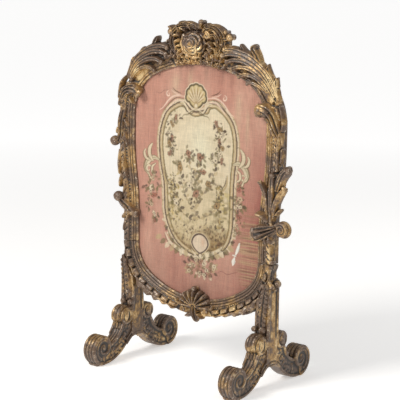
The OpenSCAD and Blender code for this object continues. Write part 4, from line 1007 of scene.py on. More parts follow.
shells = [finger(on_crest([[-80, -24, 8, 28], [-98, 4, 11, 34], [-93, 34, 13, 38], [-68, 57, 14, 42], [-36, 65, 13, 43], [-8, 61, 9, 38], [4, 50, 6, 30]]),
                 ridges=4, groove=0.35), *knob(-96, FRAME_TOP + 43, 12, 38)]
for x, h, angle, length, wide, forward in (
        (-62, 30, 150, 26, 8, 38), (-58, 18, 175, 28, 8, 37), (-60, 4, 195, 28, 8, 35), (-58, -8, 215, 28, 8, 33), (-40, 44, 120, 22, 8, 40), (-20, 48, 80, 20, 7, 40),
        (-76, 14, 250, 28, 8, 36), (-92, -6, 240, 26, 7, 32), (-88, 50, 130, 22, 7, 35), (-50, 60, 100, 20, 6, 38), (-104, 20, 200, 18, 6, 32), (-70, 40, 60, 22, 7, 38)):
    shells.append(sprig(x, FRAME_TOP + h, angle, length, wide, forward))
carved("crest_scroll_left", shells, 1.4)

shells = [finger(on_crest([[24, 42, 6, 30], [36, 56, 9, 38], [57, 60, 12, 42], [80, 54, 14, 44], [98, 36, 14, 42], [102, 12, 12, 37], [88, -10, 9, 31]]),
                 ridges=4, groove=0.4), *knob(131, FRAME_TOP + 34, 12.5, 37), *knob(21, FRAME_TOP + 75, 9.5, 36), *knob(115, FRAME_TOP + 49, 7, 34)]
shells += spiral(47, FRAME_TOP + 36, 16, 1.4, 38, 120, 5, -1) + [ball((47, -32, FRAME_TOP + 36), 5)]
shells += [finger(on_crest(c), ridges=2, groove=0.3) for c in (
    [[18, 52, 7, 30], [18, 64, 7, 36], [21, 72, 5, 32]], [[6, 54, 7, 32], [12, 66, 6, 34], [16, 74, 4, 30]],
    [[56, 34, 6, 34], [72, 38, 8, 40], [84, 26, 7, 40], [84, 6, 5, 34]], [[100, 24, 7, 32], [116, 28, 8, 36], [128, 28, 6, 34]])]
for x, h, angle, length, wide, forward in (
        (30, 26, 60, 20, 7, 38), (38, 10, 20, 26, 8, 38), (40, -4, 355, 28, 8, 37), (36, -16, 330, 28, 8, 35), (66, 14, 10, 24, 8, 38), (66, -2, 340, 26, 8, 36),
        (60, -18, 320, 26, 8, 33), (86, -6, 330, 24, 7, 34), (88, 10, 20, 22, 7, 35), (30, 62, 50, 18, 6, 36), (106, 8, 0, 20, 7, 32), (60, 22, 90, 18, 6, 38)):
    shells.append(sprig(x, FRAME_TOP + h, angle, length, wide, forward, -0.7))
shells += rosette(60, FRAME_TOP - 2, 10, 40) + rosette(84, FRAME_TOP - 20, 9, 36)
carved("crest_scroll_right", shells, 1.4)

rng = np.random.default_rng(7)
shells = []
for k, x in enumerate(np.arange(-90, 112, 11.0)):
    z = sight_z(x) + 11 + rng.uniform(-2, 3)
    if k % 2:
        shells += rosette(x, z, 9.5, 26 + rng.uniform(-2, 3), 5, rng.uniform(0, 1))
    else:
        shells.append(sprig(x, z + 15, -90 + rng.uniform(-35, 35), 25, 7, 27, rng.uniform(-0.8, 0.8)))
    shells.append(sprig(x + rng.uniform(-3, 3), z + 30, -90 + rng.uniform(-60, 60), 22, 7.5, 30 + rng.uniform(-3, 4), rng.uniform(-1, 1)))
carved("crest_flowers", shells, 1.3)

# %% [markdown]
# ## The shell
# Under the opening a shell of seven ribs fans out over the reeds, with a knob
# on top, a C-scroll at its right, and a draped stem that hangs to the rail's
# lower edge.

# %% Shell below the opening
SHELL_X, SHELL_Z, SHELL_R = 4, SIGHT_Z - 24, 58
shells = [prism(np.vstack([on_arc((SHELL_X, SHELL_Z), 42, np.linspace(-8, 188, 40)) * [1.15, 1] - [0.6, 0], [[SHELL_X, SHELL_Z - 10]]]), -22, -SEAT + 2)]
for k in range(9):
    a = math.radians(4 + k * 172 / 8)
    wide_, high_ = SHELL_R * 1.12, SHELL_R * 0.98
    spots = [(0.08, 5, 30), (0.4, 6.5, 35), (0.78, 9, 35), (1.0, 9, 29)]
    shells.append(finger([[SHELL_X + math.cos(a) * wide_ * e, SHELL_Z + math.sin(a) * high_ * e, w, f] for e, w, f in spots], ridges=1, tip=7))
STEM = [[SHELL_X - 1, SHELL_Z + 4, 10, 34], [SHELL_X, SHELL_Z - 14, 15, 36], [SHELL_X + 3, SHELL_Z - 34, 12, 32], [SHELL_X + 5, SHELL_Z - 52, 7, 22]]
shells += [finger(STEM, ridges=3, groove=0.4), *knob(SHELL_X + 2, SHELL_Z + SHELL_R + 1, 9, 32)]
shells += spiral(SHELL_X + 46, SHELL_Z - 12, 16, 1.4, 33, 90, 5.5, -1) + spiral(SHELL_X - 40, SHELL_Z - 14, 11, 1.3, 27, 90, 4.5, 1)
shells += [sprig(SHELL_X + 12 * q, SHELL_Z - 20, -90 + 30 * q, 26, 7, 30, 0.6 * q) for q in (-1, 1)]
shells += [sprig(SHELL_X + 56 * q, SHELL_Z - 2, 90 - 70 * q, 26, 7, 26, 0.5 * q) for q in (-1, 1)]
carved("bottom_shell", shells, 1.4)

# %% [markdown]
# ## Trestles
# Each post is scribed to the frame's round corner. Its outer side has fluted
# gold reeds and its front a long hanging leaf. The legs spring from it, front
# and back, as S-scrolls: a volute at the top, a reeded scroll for a foot.

# %% Posts and their leaves
POST_Z, POST_F, VOLUTE_Z = 72, 27, 142
POST_TOP = CORNER[1] - 38
x0, x1 = POST_X - POST_W / 2, POST_X + POST_W / 2
scribe = on_arc(CORNER, CORNER_R + RAIL_W + 0.6, np.linspace(-60, 0, 60))
scribe = scribe[(scribe[:, 0] > x0) & (scribe[:, 1] < POST_TOP) & (scribe[:, 0] < x1)]
hollow_arch = on_arc((POST_X, POST_Z - 60), 62, np.linspace(65, 115, 12))
outline = np.vstack([hollow_arch[::-1] * [1, 1], [[x1, POST_Z], [x1, POST_TOP - 60], [x1 - 5, POST_TOP]], scribe[::-1], [[x0, POST_Z]]])


def post_parts(knobs):
    """The post: a scribed slab, fluted on both sides, with knobs at its head."""
    shells = [prism(outline, -POST_F, POST_F)]
    up_ = np.linspace(POST_Z + 84, POST_TOP - 14, 30)
    for x, sign in ((x1 - 2, 1), (x0 + 3, -1)):
        top_ = up_ if sign > 0 else np.linspace(POST_Z + 84, POST_TOP - 112, 20)
        for y, r in ((-21.5, 6), (21.5, 6)):
            shells.append(rod([(x - sign * (5 - r) * 0.5, y * (1 + 0.16 * math.exp(-(z - 150) / 40)), z) for z in top_], r))
        # the legs' lower edge runs on under the post, and leaves hang in the fork
        for low, r in ((4, 5.5), (17, 3.2)):
            path, _ = smooth_curve([(-54, 44 + low, 0), (-27, 66 + low, 0), (0, 74 + low, 0), (27, 66 + low, 0), (54, 44 + low, 0)])
            shells.append(rod([(x - sign * 1.5, y, z) for y, z, _ in path], r))
        for y, z, r in ((0, 150, 9), (0, 134, 8), (-9, 122, 7), (9, 122, 7), (-15, 106, 6.5), (0, 110, 7), (15, 106, 6.5), (-19, 136, 6), (19, 136, 6)):
            shells.append(ball((x - sign * 2, y, z), (5, r * 0.8, r), 8, 14))
    for x, y, z, r in ((303, 8, 326, 11.5), (299, -20, 321, 10), (300, -4, 310, 7)) if knobs else ():
        shells += [ball((x, y, z), r), ball((x + r * 0.7, y - r * 0.5, z), r * 0.45)]
        shells.append(rod([(x - 14, y, z), (x, y, z)], r * 0.7))
    return shells


carved("right_post", post_parts(True), 1.6)
carved("left_post", post_parts(False), 1.6, side=-1)

LEAF_BASE = POST_F - 2
POST_LEAF = [[POST_X - 3, VOLUTE_Z + 46, 17, POST_F + 7], [POST_X - 2, VOLUTE_Z + 80, 18, POST_F + 11],
             [POST_X + 3, VOLUTE_Z + 122, 16, POST_F + 11], [POST_X + 10, VOLUTE_Z + 164, 11, POST_F + 9], [POST_X + 15, VOLUTE_Z + 188, 6, POST_F + 5]]


def post_leaf():
    """A hanging leaf on the post's front, over two small scroll knobs."""
    shells = [finger(POST_LEAF, LEAF_BASE, ridges=3, groove=0.4)]
    for k, z in enumerate(range(50, 176, 15)):
        for q in (-1, 1):
            w, lean = 15 - 0.9 * k, 1.7 * k
            shells.append(sprig(POST_X + lean + q * w * 0.3, VOLUTE_Z + z, 90 - q * 48, 20 - 0.6 * k, 6, POST_F + 10, q * 0.9, LEAF_BASE))
    for x, r in ((POST_X + 9, 11), (POST_X - 21, 9.5)):
        shells += [rod([(x, -POST_F + 4, VOLUTE_Z + 44), (x, -POST_F - 8, VOLUTE_Z + 44)], r * 0.85), ball((x, -POST_F - 9, VOLUTE_Z + 44), (r, r * 0.7, r))]
        a = np.linspace(0, 2 * np.pi, 30)
        shells.append(rod(np.stack([x + r * 0.62 * np.cos(a), -POST_F - 13 + 0 * a, VOLUTE_Z + 44 + r * 0.62 * np.sin(a)], 1), 2.6, 8))
    return shells


carved("post_leaf_right", post_leaf(), 1.3)
carved("post_leaf_left", post_leaf(), 1.3, side=-1)

# %% Legs
FOOT_V, SCROLL_R, SCROLL_STEP, SCROLL_W, LEG_W, SOLE = 160, 54, 8, 50, 40, -1.5
VOLUTE_V, VOLUTE_R = 53, 28
CENTRES = [(FOOT_V, SOLE + SCROLL_R), (FOOT_V + SCROLL_STEP, SOLE + SCROLL_R),
           (FOOT_V + SCROLL_STEP, SOLE + SCROLL_R + SCROLL_STEP), (FOOT_V, SOLE + SCROLL_R + SCROLL_STEP)]
UNDER, TOP_ARC = (FOOT_V, SOLE + 150), (FOOT_V - 12, SOLE + 143)


def wound(quarters, inset, step=3.0):
    """The foot scroll's line of quarter turns, each tighter than the last."""
    line = []
    for k in range(quarters):
        radius = SCROLL_R - SCROLL_STEP * k - inset
        centre = CENTRES[k % 4]
        line.append(on_arc(centre, radius, np.linspace(-90 + 90 * k, 90 * k, max(int(radius / step), 5))[:-1]))
    return np.vstack(line)


def leg_parts(front):
    """Shells of the right rear leg, in [across, distance behind, height]."""
    under = on_arc(UNDER, 150, np.linspace(-135, -90, 24))
    top = on_arc(TOP_ARC, 83, np.linspace(-98, -168, 24))
    side = np.vstack([[[POST_F - 1, UNDER[1] - 82]], under, [[FOOT_V, CENTRES[3][1]]], top, [[VOLUTE_V, VOLUTE_Z], [POST_F - 1, VOLUTE_Z + VOLUTE_R - 4]]])
    shells = [prism(side, -LEG_W / 2 + 2, LEG_W / 2 - 2, "yz")]
    # border ridges along the top of the leg and along its underside
    for x in (-16, -5.5, 5.5, 16):
        shells.append(rod([(x, v, z - 1) for v, z in on_arc(TOP_ARC, 84, np.linspace(-90, -172, 40))], 5.4))
    for x in (-17, 17):
        shells.append(rod([(x, v, z) for v, z in on_arc(UNDER, 145, np.linspace(-138, -92, 40))], 5.2))
    # the foot scroll: four reeds wound over a narrower web, a ring and an eye
    reed = SCROLL_W / 8
    line = wound(4, reed)
    for k in range(4):
        shells.append(rod([((2 * k - 3) * reed, v, z) for v, z in line], reed * 1.1, 14))
    shells.append(prism(wound(4, reed), -SCROLL_W / 2 + 3.5, SCROLL_W / 2 - 3.5, "yz"))
    eye, a = np.mean(CENTRES, 0), np.linspace(0, 2 * np.pi, 50)
    rng = np.random.default_rng(5)
    for x in (-1, 1):
        side_x = x * (SCROLL_W / 2 - 5)
        turn = np.linspace(0, 1, 60)
        b, r = np.radians(-70 + 560 * turn), 37 - 29 * turn ** 0.85
        shells.append(rod(np.stack([side_x + 0 * b, eye[0] + r * np.cos(b), eye[1] + r * np.sin(b)], 1), 5.6 - 2.4 * turn))
        shells.append(ball((side_x, *eye), (7, 7, 7)))
    # the upper volute: a reeded band between two end lobes
    for x, r in ((-20, 5.8), (20, 5.8), (-9, 6.4), (0, 6.8), (9, 6.4)):
        shells.append(rod([(x, VOLUTE_V + (VOLUTE_R - r) * math.cos(b), VOLUTE_Z + (VOLUTE_R - r) * math.sin(b)) for b in a], r, 14))
    shells.append(prism(on_arc((VOLUTE_V, VOLUTE_Z), VOLUTE_R - 6, np.linspace(0, 345, 24)), -SCROLL_W / 2 + 6, SCROLL_W / 2 - 6, "yz"))
    for x in (-1, 1):
        shells.append(ball((x * (SCROLL_W / 2 - 7), VOLUTE_V, VOLUTE_Z), (7, 9, 9)))
        # a soft mass of small leaves in the field on the side
        for k in range(60):
            b, r = math.radians(rng.uniform(-180, -100)), rng.uniform(98, 128)
            size = rng.uniform(4.5, 7.5)
            shells.append(ball((x * (LEG_W / 2 - 3.5), TOP_ARC[0] + r * math.cos(b), TOP_ARC[1] + r * math.sin(b)), (rng.uniform(2.8, 5), size, size), 7, 12))
        # a leaf on the volute's cheek, that runs down onto the leg
        shells.append(ball((x * (LEG_W / 2 + 1), VOLUTE_V + 4, VOLUTE_Z + 4), (7.5, 13, 23), 12, 20))
        shells.append(rod([(x * (LEG_W / 2 - 1), v, z) for v, z in ((60, 140), (66, 120), (78, 100), (94, 84))], [7, 6, 5, 3]))
    if front:
        shells.append(rod([(x, FOOT_V + 26, 7.5) for x in (-19, -12, 12, 19)], [7.6, 9, 9, 7.6], 24))
        # the leaf that falls over the volute and on down the leg
        for x, w in ((-11, 7), (0, 8.5), (11, 7)):
            fall = np.vstack([on_arc((VOLUTE_V, VOLUTE_Z), VOLUTE_R + 2, np.linspace(112, -24, 24)), on_arc(TOP_ARC, 80, np.linspace(-176, -150, 8))])
            shells.append(rod([(x, v, z) for v, z in fall], w * np.sin(np.linspace(0.4, 2.85, len(fall))) ** 0.6, 12, 3, 0.1))
    return shells


def placed(shells, x, end):
    """A leg's shells at their post: x across, end -1 for the front."""
    out = []
    for v, faces in shells:
        v = np.asarray(v, float) * [1, end, 1] + [x, 0, 0]
        v[:, 2] = np.maximum(v[:, 2], 0)
        out.append((v, [f[::-1] for f in faces] if end < 0 else faces))
    return out


for name, x, end in (("front_right_leg", POST_X, -1), ("front_left_leg", -POST_X, -1), ("rear_right_leg", POST_X, 1), ("rear_left_leg", -POST_X, 1)):
    carved(name, placed(leg_parts(end < 0), x, end), 1.7, 2)
print(TOTAL)

# %% [markdown]
# ## The tapestry
# The panel is a fine wool tapestry: an old-rose ground, and in it a cream
# field inside a shaped border of scrolls, with a shell at its top and an
# oval at its foot. A weaver changes colour thread by thread, so the design is
# painted here onto a close grid of points, as the weaver's cartoon is, from
# strokes and shapes in millimetres. In the field stands a plain leafy spray
# with blossoms, on a little ground of grass. Light has bleached the rose
# unevenly, and at the lower right the wool has worn off the threads beneath.

# %% The cartoon: shapes and strokes on a grid of points
GRID = 2.0
PANEL_U, SHEET_Y = 8.5, -3.3
gx = np.arange(-SIDE_X - 10, SIDE_X + 10 + GRID, GRID)
gz = np.arange(SIGHT_Z - 10, SIGHT_TOP + 10 + GRID, GRID)
X, Z = np.meshgrid(gx, gz)
rng = np.random.default_rng(21)


def clouds(cell_x, cell_z, seed):
    """Smooth random patches between 0 and 1, of a size in millimetres."""
    r = np.random.default_rng(seed)
    cols, rows = int(np.ptp(gx) / cell_x) + 3, int(np.ptp(gz) / cell_z) + 3
    table = r.random((rows, cols))
    x, z = (X - gx[0]) / cell_x, (Z - gz[0]) / cell_z
    i, j = z.astype(int), x.astype(int)
    u, v = x - j, z - i
    u, v = u * u * (3 - 2 * u), v * v * (3 - 2 * v)
    return (table[i, j] * (1 - u) + table[i, j + 1] * u) * (1 - v) + (table[i + 1, j] * (1 - u) + table[i + 1, j + 1] * u) * v


def srgb(r, g, b):
    """A colour seen as 0 to 255, as the linear value that the shader needs."""
    c = np.array([r, g, b]) / 255
    return np.where(c < 0.04045, c / 12.92, ((c + 0.055) / 1.055) ** 2.4)


ROSE, PALE_ROSE, DEEP_ROSE = srgb(196, 142, 122), srgb(216, 176, 152), srgb(166, 108, 92)
CREAM, SAND, OLIVE, BARK = srgb(224, 208, 176), srgb(188, 165, 122), srgb(122, 108, 70), srgb(76, 54, 38)
BLUSH, WOOL, WHITE_WOOL = srgb(176, 112, 90), srgb(222, 204, 172), srgb(236, 230, 218)
DIRT = srgb(96, 66, 44)
paint = np.empty(X.shape + (3,))
paint[:] = ROSE


def lay(mask, colour):
    """Lays a colour where the mask is near 1."""
    global paint
    mask = np.clip(mask, 0, 1)[..., None]
    paint = paint * (1 - mask) + np.asarray(colour) * mask


def distance(line):
    """Distance of every grid point from a line of points, and the place along it."""
    line = np.asarray(line, float)[:, :2]
    best, where_ = np.full(X.shape, 1e9), np.zeros(X.shape)
    reach = 30
    near = (X > line[:, 0].min() - reach) & (X < line[:, 0].max() + reach) & (Z > line[:, 1].min() - reach) & (Z < line[:, 1].max() + reach)
    px, pz = X[near], Z[near]
    b, w = np.full(px.shape, 1e9), np.zeros(px.shape)
    for k, (x, z) in enumerate(line):
        d = np.hypot(px - x, pz - z)
        closer = d < b
        b[closer], w[closer] = d[closer], k / len(line)
    best[near], where_[near] = b, w
    return best, where_


def stroke(rows, width, colour, strength=1.0, taper=True):
    """A brush line through points [x, z], thinner at its ends."""
    line, _ = smooth_curve([[x, z, 0] for x, z in rows], 1.5)
    d, along = distance(line)
    half = width / 2 * (0.35 + 0.65 * np.sin(np.pi * np.clip(along, 0.02, 0.98)) if taper else 1)
    lay(strength * np.clip((half - d) / 1.2 + 0.5, 0, 1), colour)


def spot(x, z, radius, colour, strength=1.0, squash=1.0):
    lay(strength * np.clip((radius - np.hypot(X - x, (Z - z) / squash)) / 1.4 + 0.5, 0, 1), colour)


def blossom(x, z, radius, petal, eye, turn=0.0):
    """A small ragged flower: petals of uneven size, with dark edges and an eye."""
    r = np.random.default_rng(int(abs(x * 7 + z)) + 3)
    places = [(turn + k * 2 * math.pi / 5 + r.uniform(-0.3, 0.3), radius * r.uniform(0.45, 0.75), radius * r.uniform(0.32, 0.5)) for k in range(5)]
    for grow, colour, strength in ((1.1, BARK, 0.55), (0.0, petal, 0.9)):
        for a, far, size in places:
            spot(x + far * math.cos(a), z + far * math.sin(a), size + grow, colour, strength, r.uniform(0.7, 1.2))
    spot(x + 0.8, z - 0.5, radius * 0.28, eye, 0.85)


def spray(x, z, size, lean, seed, petal, leaf, count=9):
    """A ragged sprig of leaves with a blossom or two."""
    r = np.random.default_rng(seed)
    for k in range(count):
        a = lean + r.normal(0, 1.1)
        far = size * r.uniform(0.1, 0.8)
        leaflet(x + far * math.cos(a), z + far * math.sin(a), size * r.uniform(0.35, 0.65), a + r.normal(0, 0.7), (leaf, BARK, leaf, OLIVE)[k % 4], r.uniform(0.5, 0.9))
    blossom(x, z, size * 0.30, petal, BARK, r.uniform(0, 2))
    blossom(x + size * 0.4 * math.cos(lean), z + size * 0.4 * math.sin(lean), size * 0.2, petal, BARK, r.uniform(0, 2))


def leaflet(x, z, length, angle, colour, strength=0.9):
    """A pointed leaf from its stem end."""
    c, s_ = math.cos(angle), math.sin(angle)
    along, side = (X - x) * c + (Z - z) * s_, -(X - x) * s_ + (Z - z) * c
    half = 0.28 * length * np.sin(np.pi * np.clip(along / length, 0, 1)) ** 0.8
    lay(strength * np.clip((half - np.abs(side)) / 1.2 + 0.3, 0, 1) * (along > 0) * (along < length), colour)


def hooked(x, z, radius, start, turns, wind, width, colour, strength=1.0):
    """A painted scroll that winds in to its end."""
    a = np.linspace(0, turns * 2 * math.pi, 14)
    r = radius * (1 - 0.75 * a / a[-1])
    stroke(np.stack([x + r * np.cos(start + wind * a), z + r * np.sin(start + wind * a)], 1), width, colour, strength)


# %% Ground and field
bleach = 0.55 * clouds(90, 240, 1) + 0.30 * clouds(30, 60, 2) + 0.15 * clouds(7, 16, 3)
lay(np.clip((bleach - 0.35) * 1.4, 0, 1) * 0.8, PALE_ROSE)
lay(np.clip((clouds(22, 120, 4) - 0.6) * 2, 0, 1) * 0.5, DEEP_ROSE)
# painted shadow of the frame: the rose is darker on the right and towards the bottom; under the crest it is browner
lay(np.clip((X - 130) / 120, 0, 1) * np.clip((820 - Z) / 260, 0, 1) * 0.9, srgb(162, 92, 80))
lay(np.clip((420 - Z) / 160, 0, 1) * 0.4, srgb(150, 98, 84))
lay(np.clip((Z - SIGHT_TOP + 62) / 70, 0, 1) * 0.45 * clouds(40, 30, 5), BARK)
for x in (-78, -30, 24, 86, 122):
    lay(0.35 * np.exp(-((X - x) / 7) ** 2) * np.clip((Z - 900) / 90, 0, 1), BARK)
for x, wide, top in ((-96, 16, 950), (-40, 9, 960), (150, 10, 900), (186, 6, 860)):
    lay(0.40 * np.exp(-((X - x + 8 * (clouds(30, 60, 9) - 0.5)) / wide) ** 2) * np.clip((top - Z) / 30, 0, 1) * np.clip((Z - top + 150) / 80, 0, 1), srgb(206, 184, 150))

RIGHT_EDGE = [(26, 836), (36, 852), (66, 855), (100, 835), (126, 808), (140, 775), (146, 734), (144, 692), (139, 649), (136, 588), (136, 531), (134, 474),
              (122, 430), (100, 404), (66, 388), (34, 380)]
LEFT_EDGE = [(-12, 374), (-52, 388), (-88, 412), (-116, 452), (-132, 498), (-135, 542), (-139, 600), (-150, 648), (-158, 706), (-156, 750), (-144, 794),
             (-122, 828), (-84, 850), (-58, 851), (-40, 836), (-16, 826)]
edge_line, _ = smooth_curve([[x, z, 0] for x, z in RIGHT_EDGE + LEFT_EDGE + RIGHT_EDGE[:1]], 1.5)
edge_line = edge_line[:, :2]
edge_d, _ = distance(edge_line)
inside = np.zeros(X.shape, bool)
for (xa, za), (xb, zb) in zip(edge_line[:-1], edge_line[1:]):
    crosses = ((za > Z) != (zb > Z)) & (X < (xb - xa) * (Z - za) / (zb - za + 1e-9) + xa)
    inside ^= crosses
signed = np.where(inside, edge_d, -edge_d)
lay(np.clip(signed / 1.5 + 0.5, 0, 1), CREAM)
lay(np.clip(signed / 1.5 + 0.5, 0, 1) * np.clip((clouds(26, 18, 6) - 0.45) * 1.5, 0, 1) * 0.4, SAND)
lay(np.clip(signed / 1.5, 0, 1) * np.exp(-((X - 6) / 42) ** 2 - ((Z - 716) / 70) ** 2) * 0.7, srgb(232, 226, 196))
lay(np.clip(signed / 1.5, 0, 1) * np.clip((640 - Z) / 180, 0, 1) * 0.5, srgb(200, 178, 128))
for offset, width, colour, strength in ((-6, 9, CREAM, 0.8), (-11, 3.4, SAND, 0.8), (-1, 4.6, BARK, 0.95), (6.5, 10, srgb(176, 148, 100), 0.9), (6, 3.4, CREAM, 0.8), (13, 3.6, OLIVE, 0.95)):
    ragged = signed - offset + 1.6 * (clouds(5, 5, 8) - 0.5)
    fade = np.where(offset == 0, 0.75 + 0.25 * (clouds(12, 12, 10) > 0.4), 1)
    lay(strength * fade * np.clip((width / 2 - np.abs(ragged)) / 1.2 + 0.5, 0, 1), colour)
# leaf nibs along the border's outer side, thicker at the lower corners
for k in range(10, len(edge_line) - 10, 7):
    x, z = edge_line[k]
    low = z < 470
    if not low and k % 2:
        continue
    dx, dz = edge_line[k + 1] - edge_line[k - 1]
    out = math.atan2(dx, -dz) + (0.6 if k % 2 else -0.6)
    if inside[np.argmin(np.abs(gz - (z + 6 * math.sin(out)))), np.argmin(np.abs(gx - (x + 6 * math.cos(out))))]:
        out += math.pi
    leaflet(x + 6 * math.cos(out), z + 6 * math.sin(out), 19 if low else 9, out, (OLIVE, SAND, CREAM, BARK)[k % 4], 0.75 if low else 0.5)

# %% Shell, scrolls, garlands and the spray
m = -14
for grow, colour in ((7, CREAM), (4.2, BARK), (1.2, OLIVE), (-2.4, srgb(206, 184, 136))):
    for k in range(7):
        a = math.radians(-6 + 32 * k)
        spot(m + 27 * math.cos(a), 873 + 27 * math.sin(a), 12.5 + grow, colour)
    spot(m, 868, 27 + grow, colour)
for k in range(8):
    a = math.radians(-8 + 28 * k)
    stroke([(m + 2 * math.cos(a), 852 + 2 * math.sin(a)), (m + 17 * math.cos(a), 864 + 17 * math.sin(a)), (m + 30 * math.cos(a), 874 + 30 * math.sin(a))], 4.6 if k % 2 else 3.4, srgb(150, 118, 72), 0.8)
for k in range(7):
    a = math.radians(6 + 28 * k)
    stroke([(m + 6 * math.cos(a), 856 + 6 * math.sin(a)), (m + 33 * math.cos(a), 875 + 32 * math.sin(a))], 5, WOOL, 0.85)
spot(m, 846, 10, SAND)
spot(m, 846, 6, CREAM)
for q in (-1, 1):
    # hooks of the border beside the shell, and small scrolls under it
    stroke([(m + q * 62, 854), (m + q * 48, 852), (m + q * 38, 840), (m + q * 28, 826), (m + q * 14, 830)], 7, CREAM, 0.95)
    stroke([(m + q * 62, 846), (m + q * 46, 842), (m + q * 36, 828), (m + q * 22, 819), (m + q * 8, 826)], 4.2, BARK, 0.9)
    stroke([(m, 834), (m + q * 16, 828), (m + q * 30, 818), (m + q * 48, 814), (m + q * 54, 806)], 5, OLIVE, 0.7)
    stroke([(m, 837), (m + q * 18, 831), (m + q * 34, 822), (m + q * 50, 818)], 2.2, CREAM, 0.8)
    # pink scroll lines beside the shell
    for rows, width, colour in (([(46, 872), (80, 873), (106, 860), (132, 832), (146, 824)], 5.4, srgb(236, 206, 184)), ([(48, 865), (78, 866), (102, 851), (128, 824)], 3.4, DIRT),
                                ([(50, 858), (76, 859), (98, 845), (118, 822)], 4.4, srgb(236, 206, 184)), ([(56, 880), (82, 888), (94, 898)], 3.6, DIRT),
                                ([(60, 876), (84, 881), (100, 890)], 3.0, srgb(236, 206, 184))):
        stroke([(m + q * x, z) for x, z in rows], width, colour, 0.85)
    hooked(m + q * 110, 876, 10, math.pi / 2, 0.95, -q, 4.4, srgb(236, 206, 184))
    # side scrolls, cream with an olive shade
    rise = 12 if q < 0 else 0
    for width, colour, strength, shift in ((24, OLIVE, 0.75, 2.5), (16, WOOL, 0.95, 0), (5, srgb(168, 160, 124), 0.8, 3)):
        stroke([(m + q * (150 - shift), 676 - rise), (m + q * 168, 680 - rise), (m + q * (190 + shift), 668 - rise), (m + q * (200 + shift), 644 - rise),
                (m + q * 190, 626 - rise)], width, colour, strength)
    hooked(m + q * 190, 640 - rise, 17, 0, 0.9, -q, 8, OLIVE, 0.7)
    hooked(m + q * 189, 641 - rise, 15, 0, 0.9, -q, 6, WOOL)
    fronds = ([(172, 670), (186, 688), (186, 708), (176, 724)], 15), ([(186, 670), (202, 678), (208, 694), (203, 704)], 11), \
             ([(160, 662), (174, 650), (174, 632), (162, 624)], 10), ([(190, 630), (182, 614), (168, 610)], 8)
    for grow, colour, strength in ((5, DIRT, 0.45), (3, OLIVE, 0.7), (-2, WOOL, 0.95)):
        for rows, width in fronds:
            stroke([(m + q * x, z - rise) for x, z in rows], width + grow, colour, strength)
    # inward scrolls of the border at the field's waist
    stroke([(m + q * 128, 640), (m + q * 124, 612), (m + q * 112, 592), (m + q * 98, 588)], 7.5, SAND, 0.95)
    stroke([(m + q * 124, 640), (m + q * 119, 614), (m + q * 108, 598), (m + q * 98, 594)], 3.4, BARK, 0.9)
    hooked(m + q * 100, 598, 11, -math.pi / 2, 0.8, q, 3.8, OLIVE)
    # sprays of flowers beside the field
    for k, (dx, dz, size) in enumerate(((172, 600, 26), (176, 572, 34), (168, 545, 30), (176, 515, 26), (166, 488, 24), (162, 460, 16))):
        spray(m + q * dx, dz, size, (1.2, -1.9, 0.3, 2.6, -1.0, 1.7)[k], 40 + k + 10 * q, (WOOL, BLUSH, srgb(206, 180, 146))[(k + q) % 3], OLIVE, 11)
    # lower scrolls and bristling leaf tips
    stroke([(m + q * 118, 430), (m + q * 98, 402), (m + q * 58, 380), (m + q * 16, 368)], 10, CREAM, 0.9)
    stroke([(m + q * 122, 426), (m + q * 102, 396), (m + q * 60, 373), (m + q * 18, 361)], 3.6, BARK, 0.85)
    stroke([(m + q * 22, 384), (m + q * 60, 392), (m + q * 92, 412), (m + q * 108, 440)], 6, OLIVE, 0.85)
    for k in range(7):
        leaflet(m + q * (132 - 17 * k), 420 - 11 * k + k * k, 30, (-0.5 - 0.16 * k) if q > 0 else math.pi + 0.5 + 0.16 * k, (SAND, OLIVE, CREAM)[k % 3], 0.75)

# the field: mottled low ground with grass, and a plain leafy spray with blossoms
bank = 462 + 22 * np.sin((X - 10) / 40) + 10 * np.sin(X / 17)
grass = np.clip((bank - Z) / 50, 0, 1) * (signed > 11)
lay(grass * (0.65 + 0.35 * clouds(9, 6, 11)), srgb(158, 128, 78))
lay(grass * np.clip((clouds(11, 8, 12) - 0.30) * 2.4, 0, 1) * np.clip((bank - 8 - Z) / 30, 0, 1), srgb(100, 70, 42))
lay(np.clip((clouds(14, 8, 19) - 0.30) * 2.2, 0, 1) * np.exp(-((X - 92) / 44) ** 2 - ((Z - 520) / 58) ** 2) * (signed > 11) * 0.95, srgb(116, 100, 58))
lay(np.clip((clouds(9, 7, 20) - 0.5) * 3, 0, 1) * np.exp(-((X - 96) / 34) ** 2 - ((Z - 556) / 40) ** 2) * (signed > 11) * 0.8, srgb(198, 176, 104))
for k in range(90):
    x, z = rng.uniform(-112, 112), rng.uniform(400, 478)
    leaflet(x, z, rng.uniform(8, 16), math.pi / 2 + rng.uniform(-0.9, 0.9), (OLIVE, BARK, SAND)[k % 3], 0.4 * (abs(x) < 104))
for k in range(330):
    side_, t = (1, -1)[k % 2], rng.random()
    x = (98 if side_ > 0 else -104) + rng.normal(0, 17) * (1.1 - 0.5 * t)
    z = 478 + 130 * t + rng.normal(0, 8)
    leaflet(x, z, rng.uniform(7, 15), rng.uniform(0, 2 * math.pi), (OLIVE, BARK, srgb(150, 128, 74), srgb(196, 172, 110))[k // 2 % 4], 0.75 * (abs(x - m) < 108))
for k in range(150):
    x, z = rng.uniform(-96, 112), rng.normal(440, 16)
    leaflet(x, z, rng.uniform(6, 13), math.pi / 2 + rng.uniform(-1.2, 1.2), (srgb(122, 88, 54), BARK, SAND)[k % 3], 0.6)
stems = [[(-4, 470), (-12, 520), (2, 572), (-8, 630), (4, 680)], [(-8, 510), (-44, 548), (-66, 600), (-74, 640)], [(0, 556), (38, 590), (62, 640), (66, 676)],
         [(-6, 604), (-32, 650), (-40, 690)], [(-6, 486), (44, 508), (70, 532)], [(-8, 480), (-56, 500), (-84, 528)]]
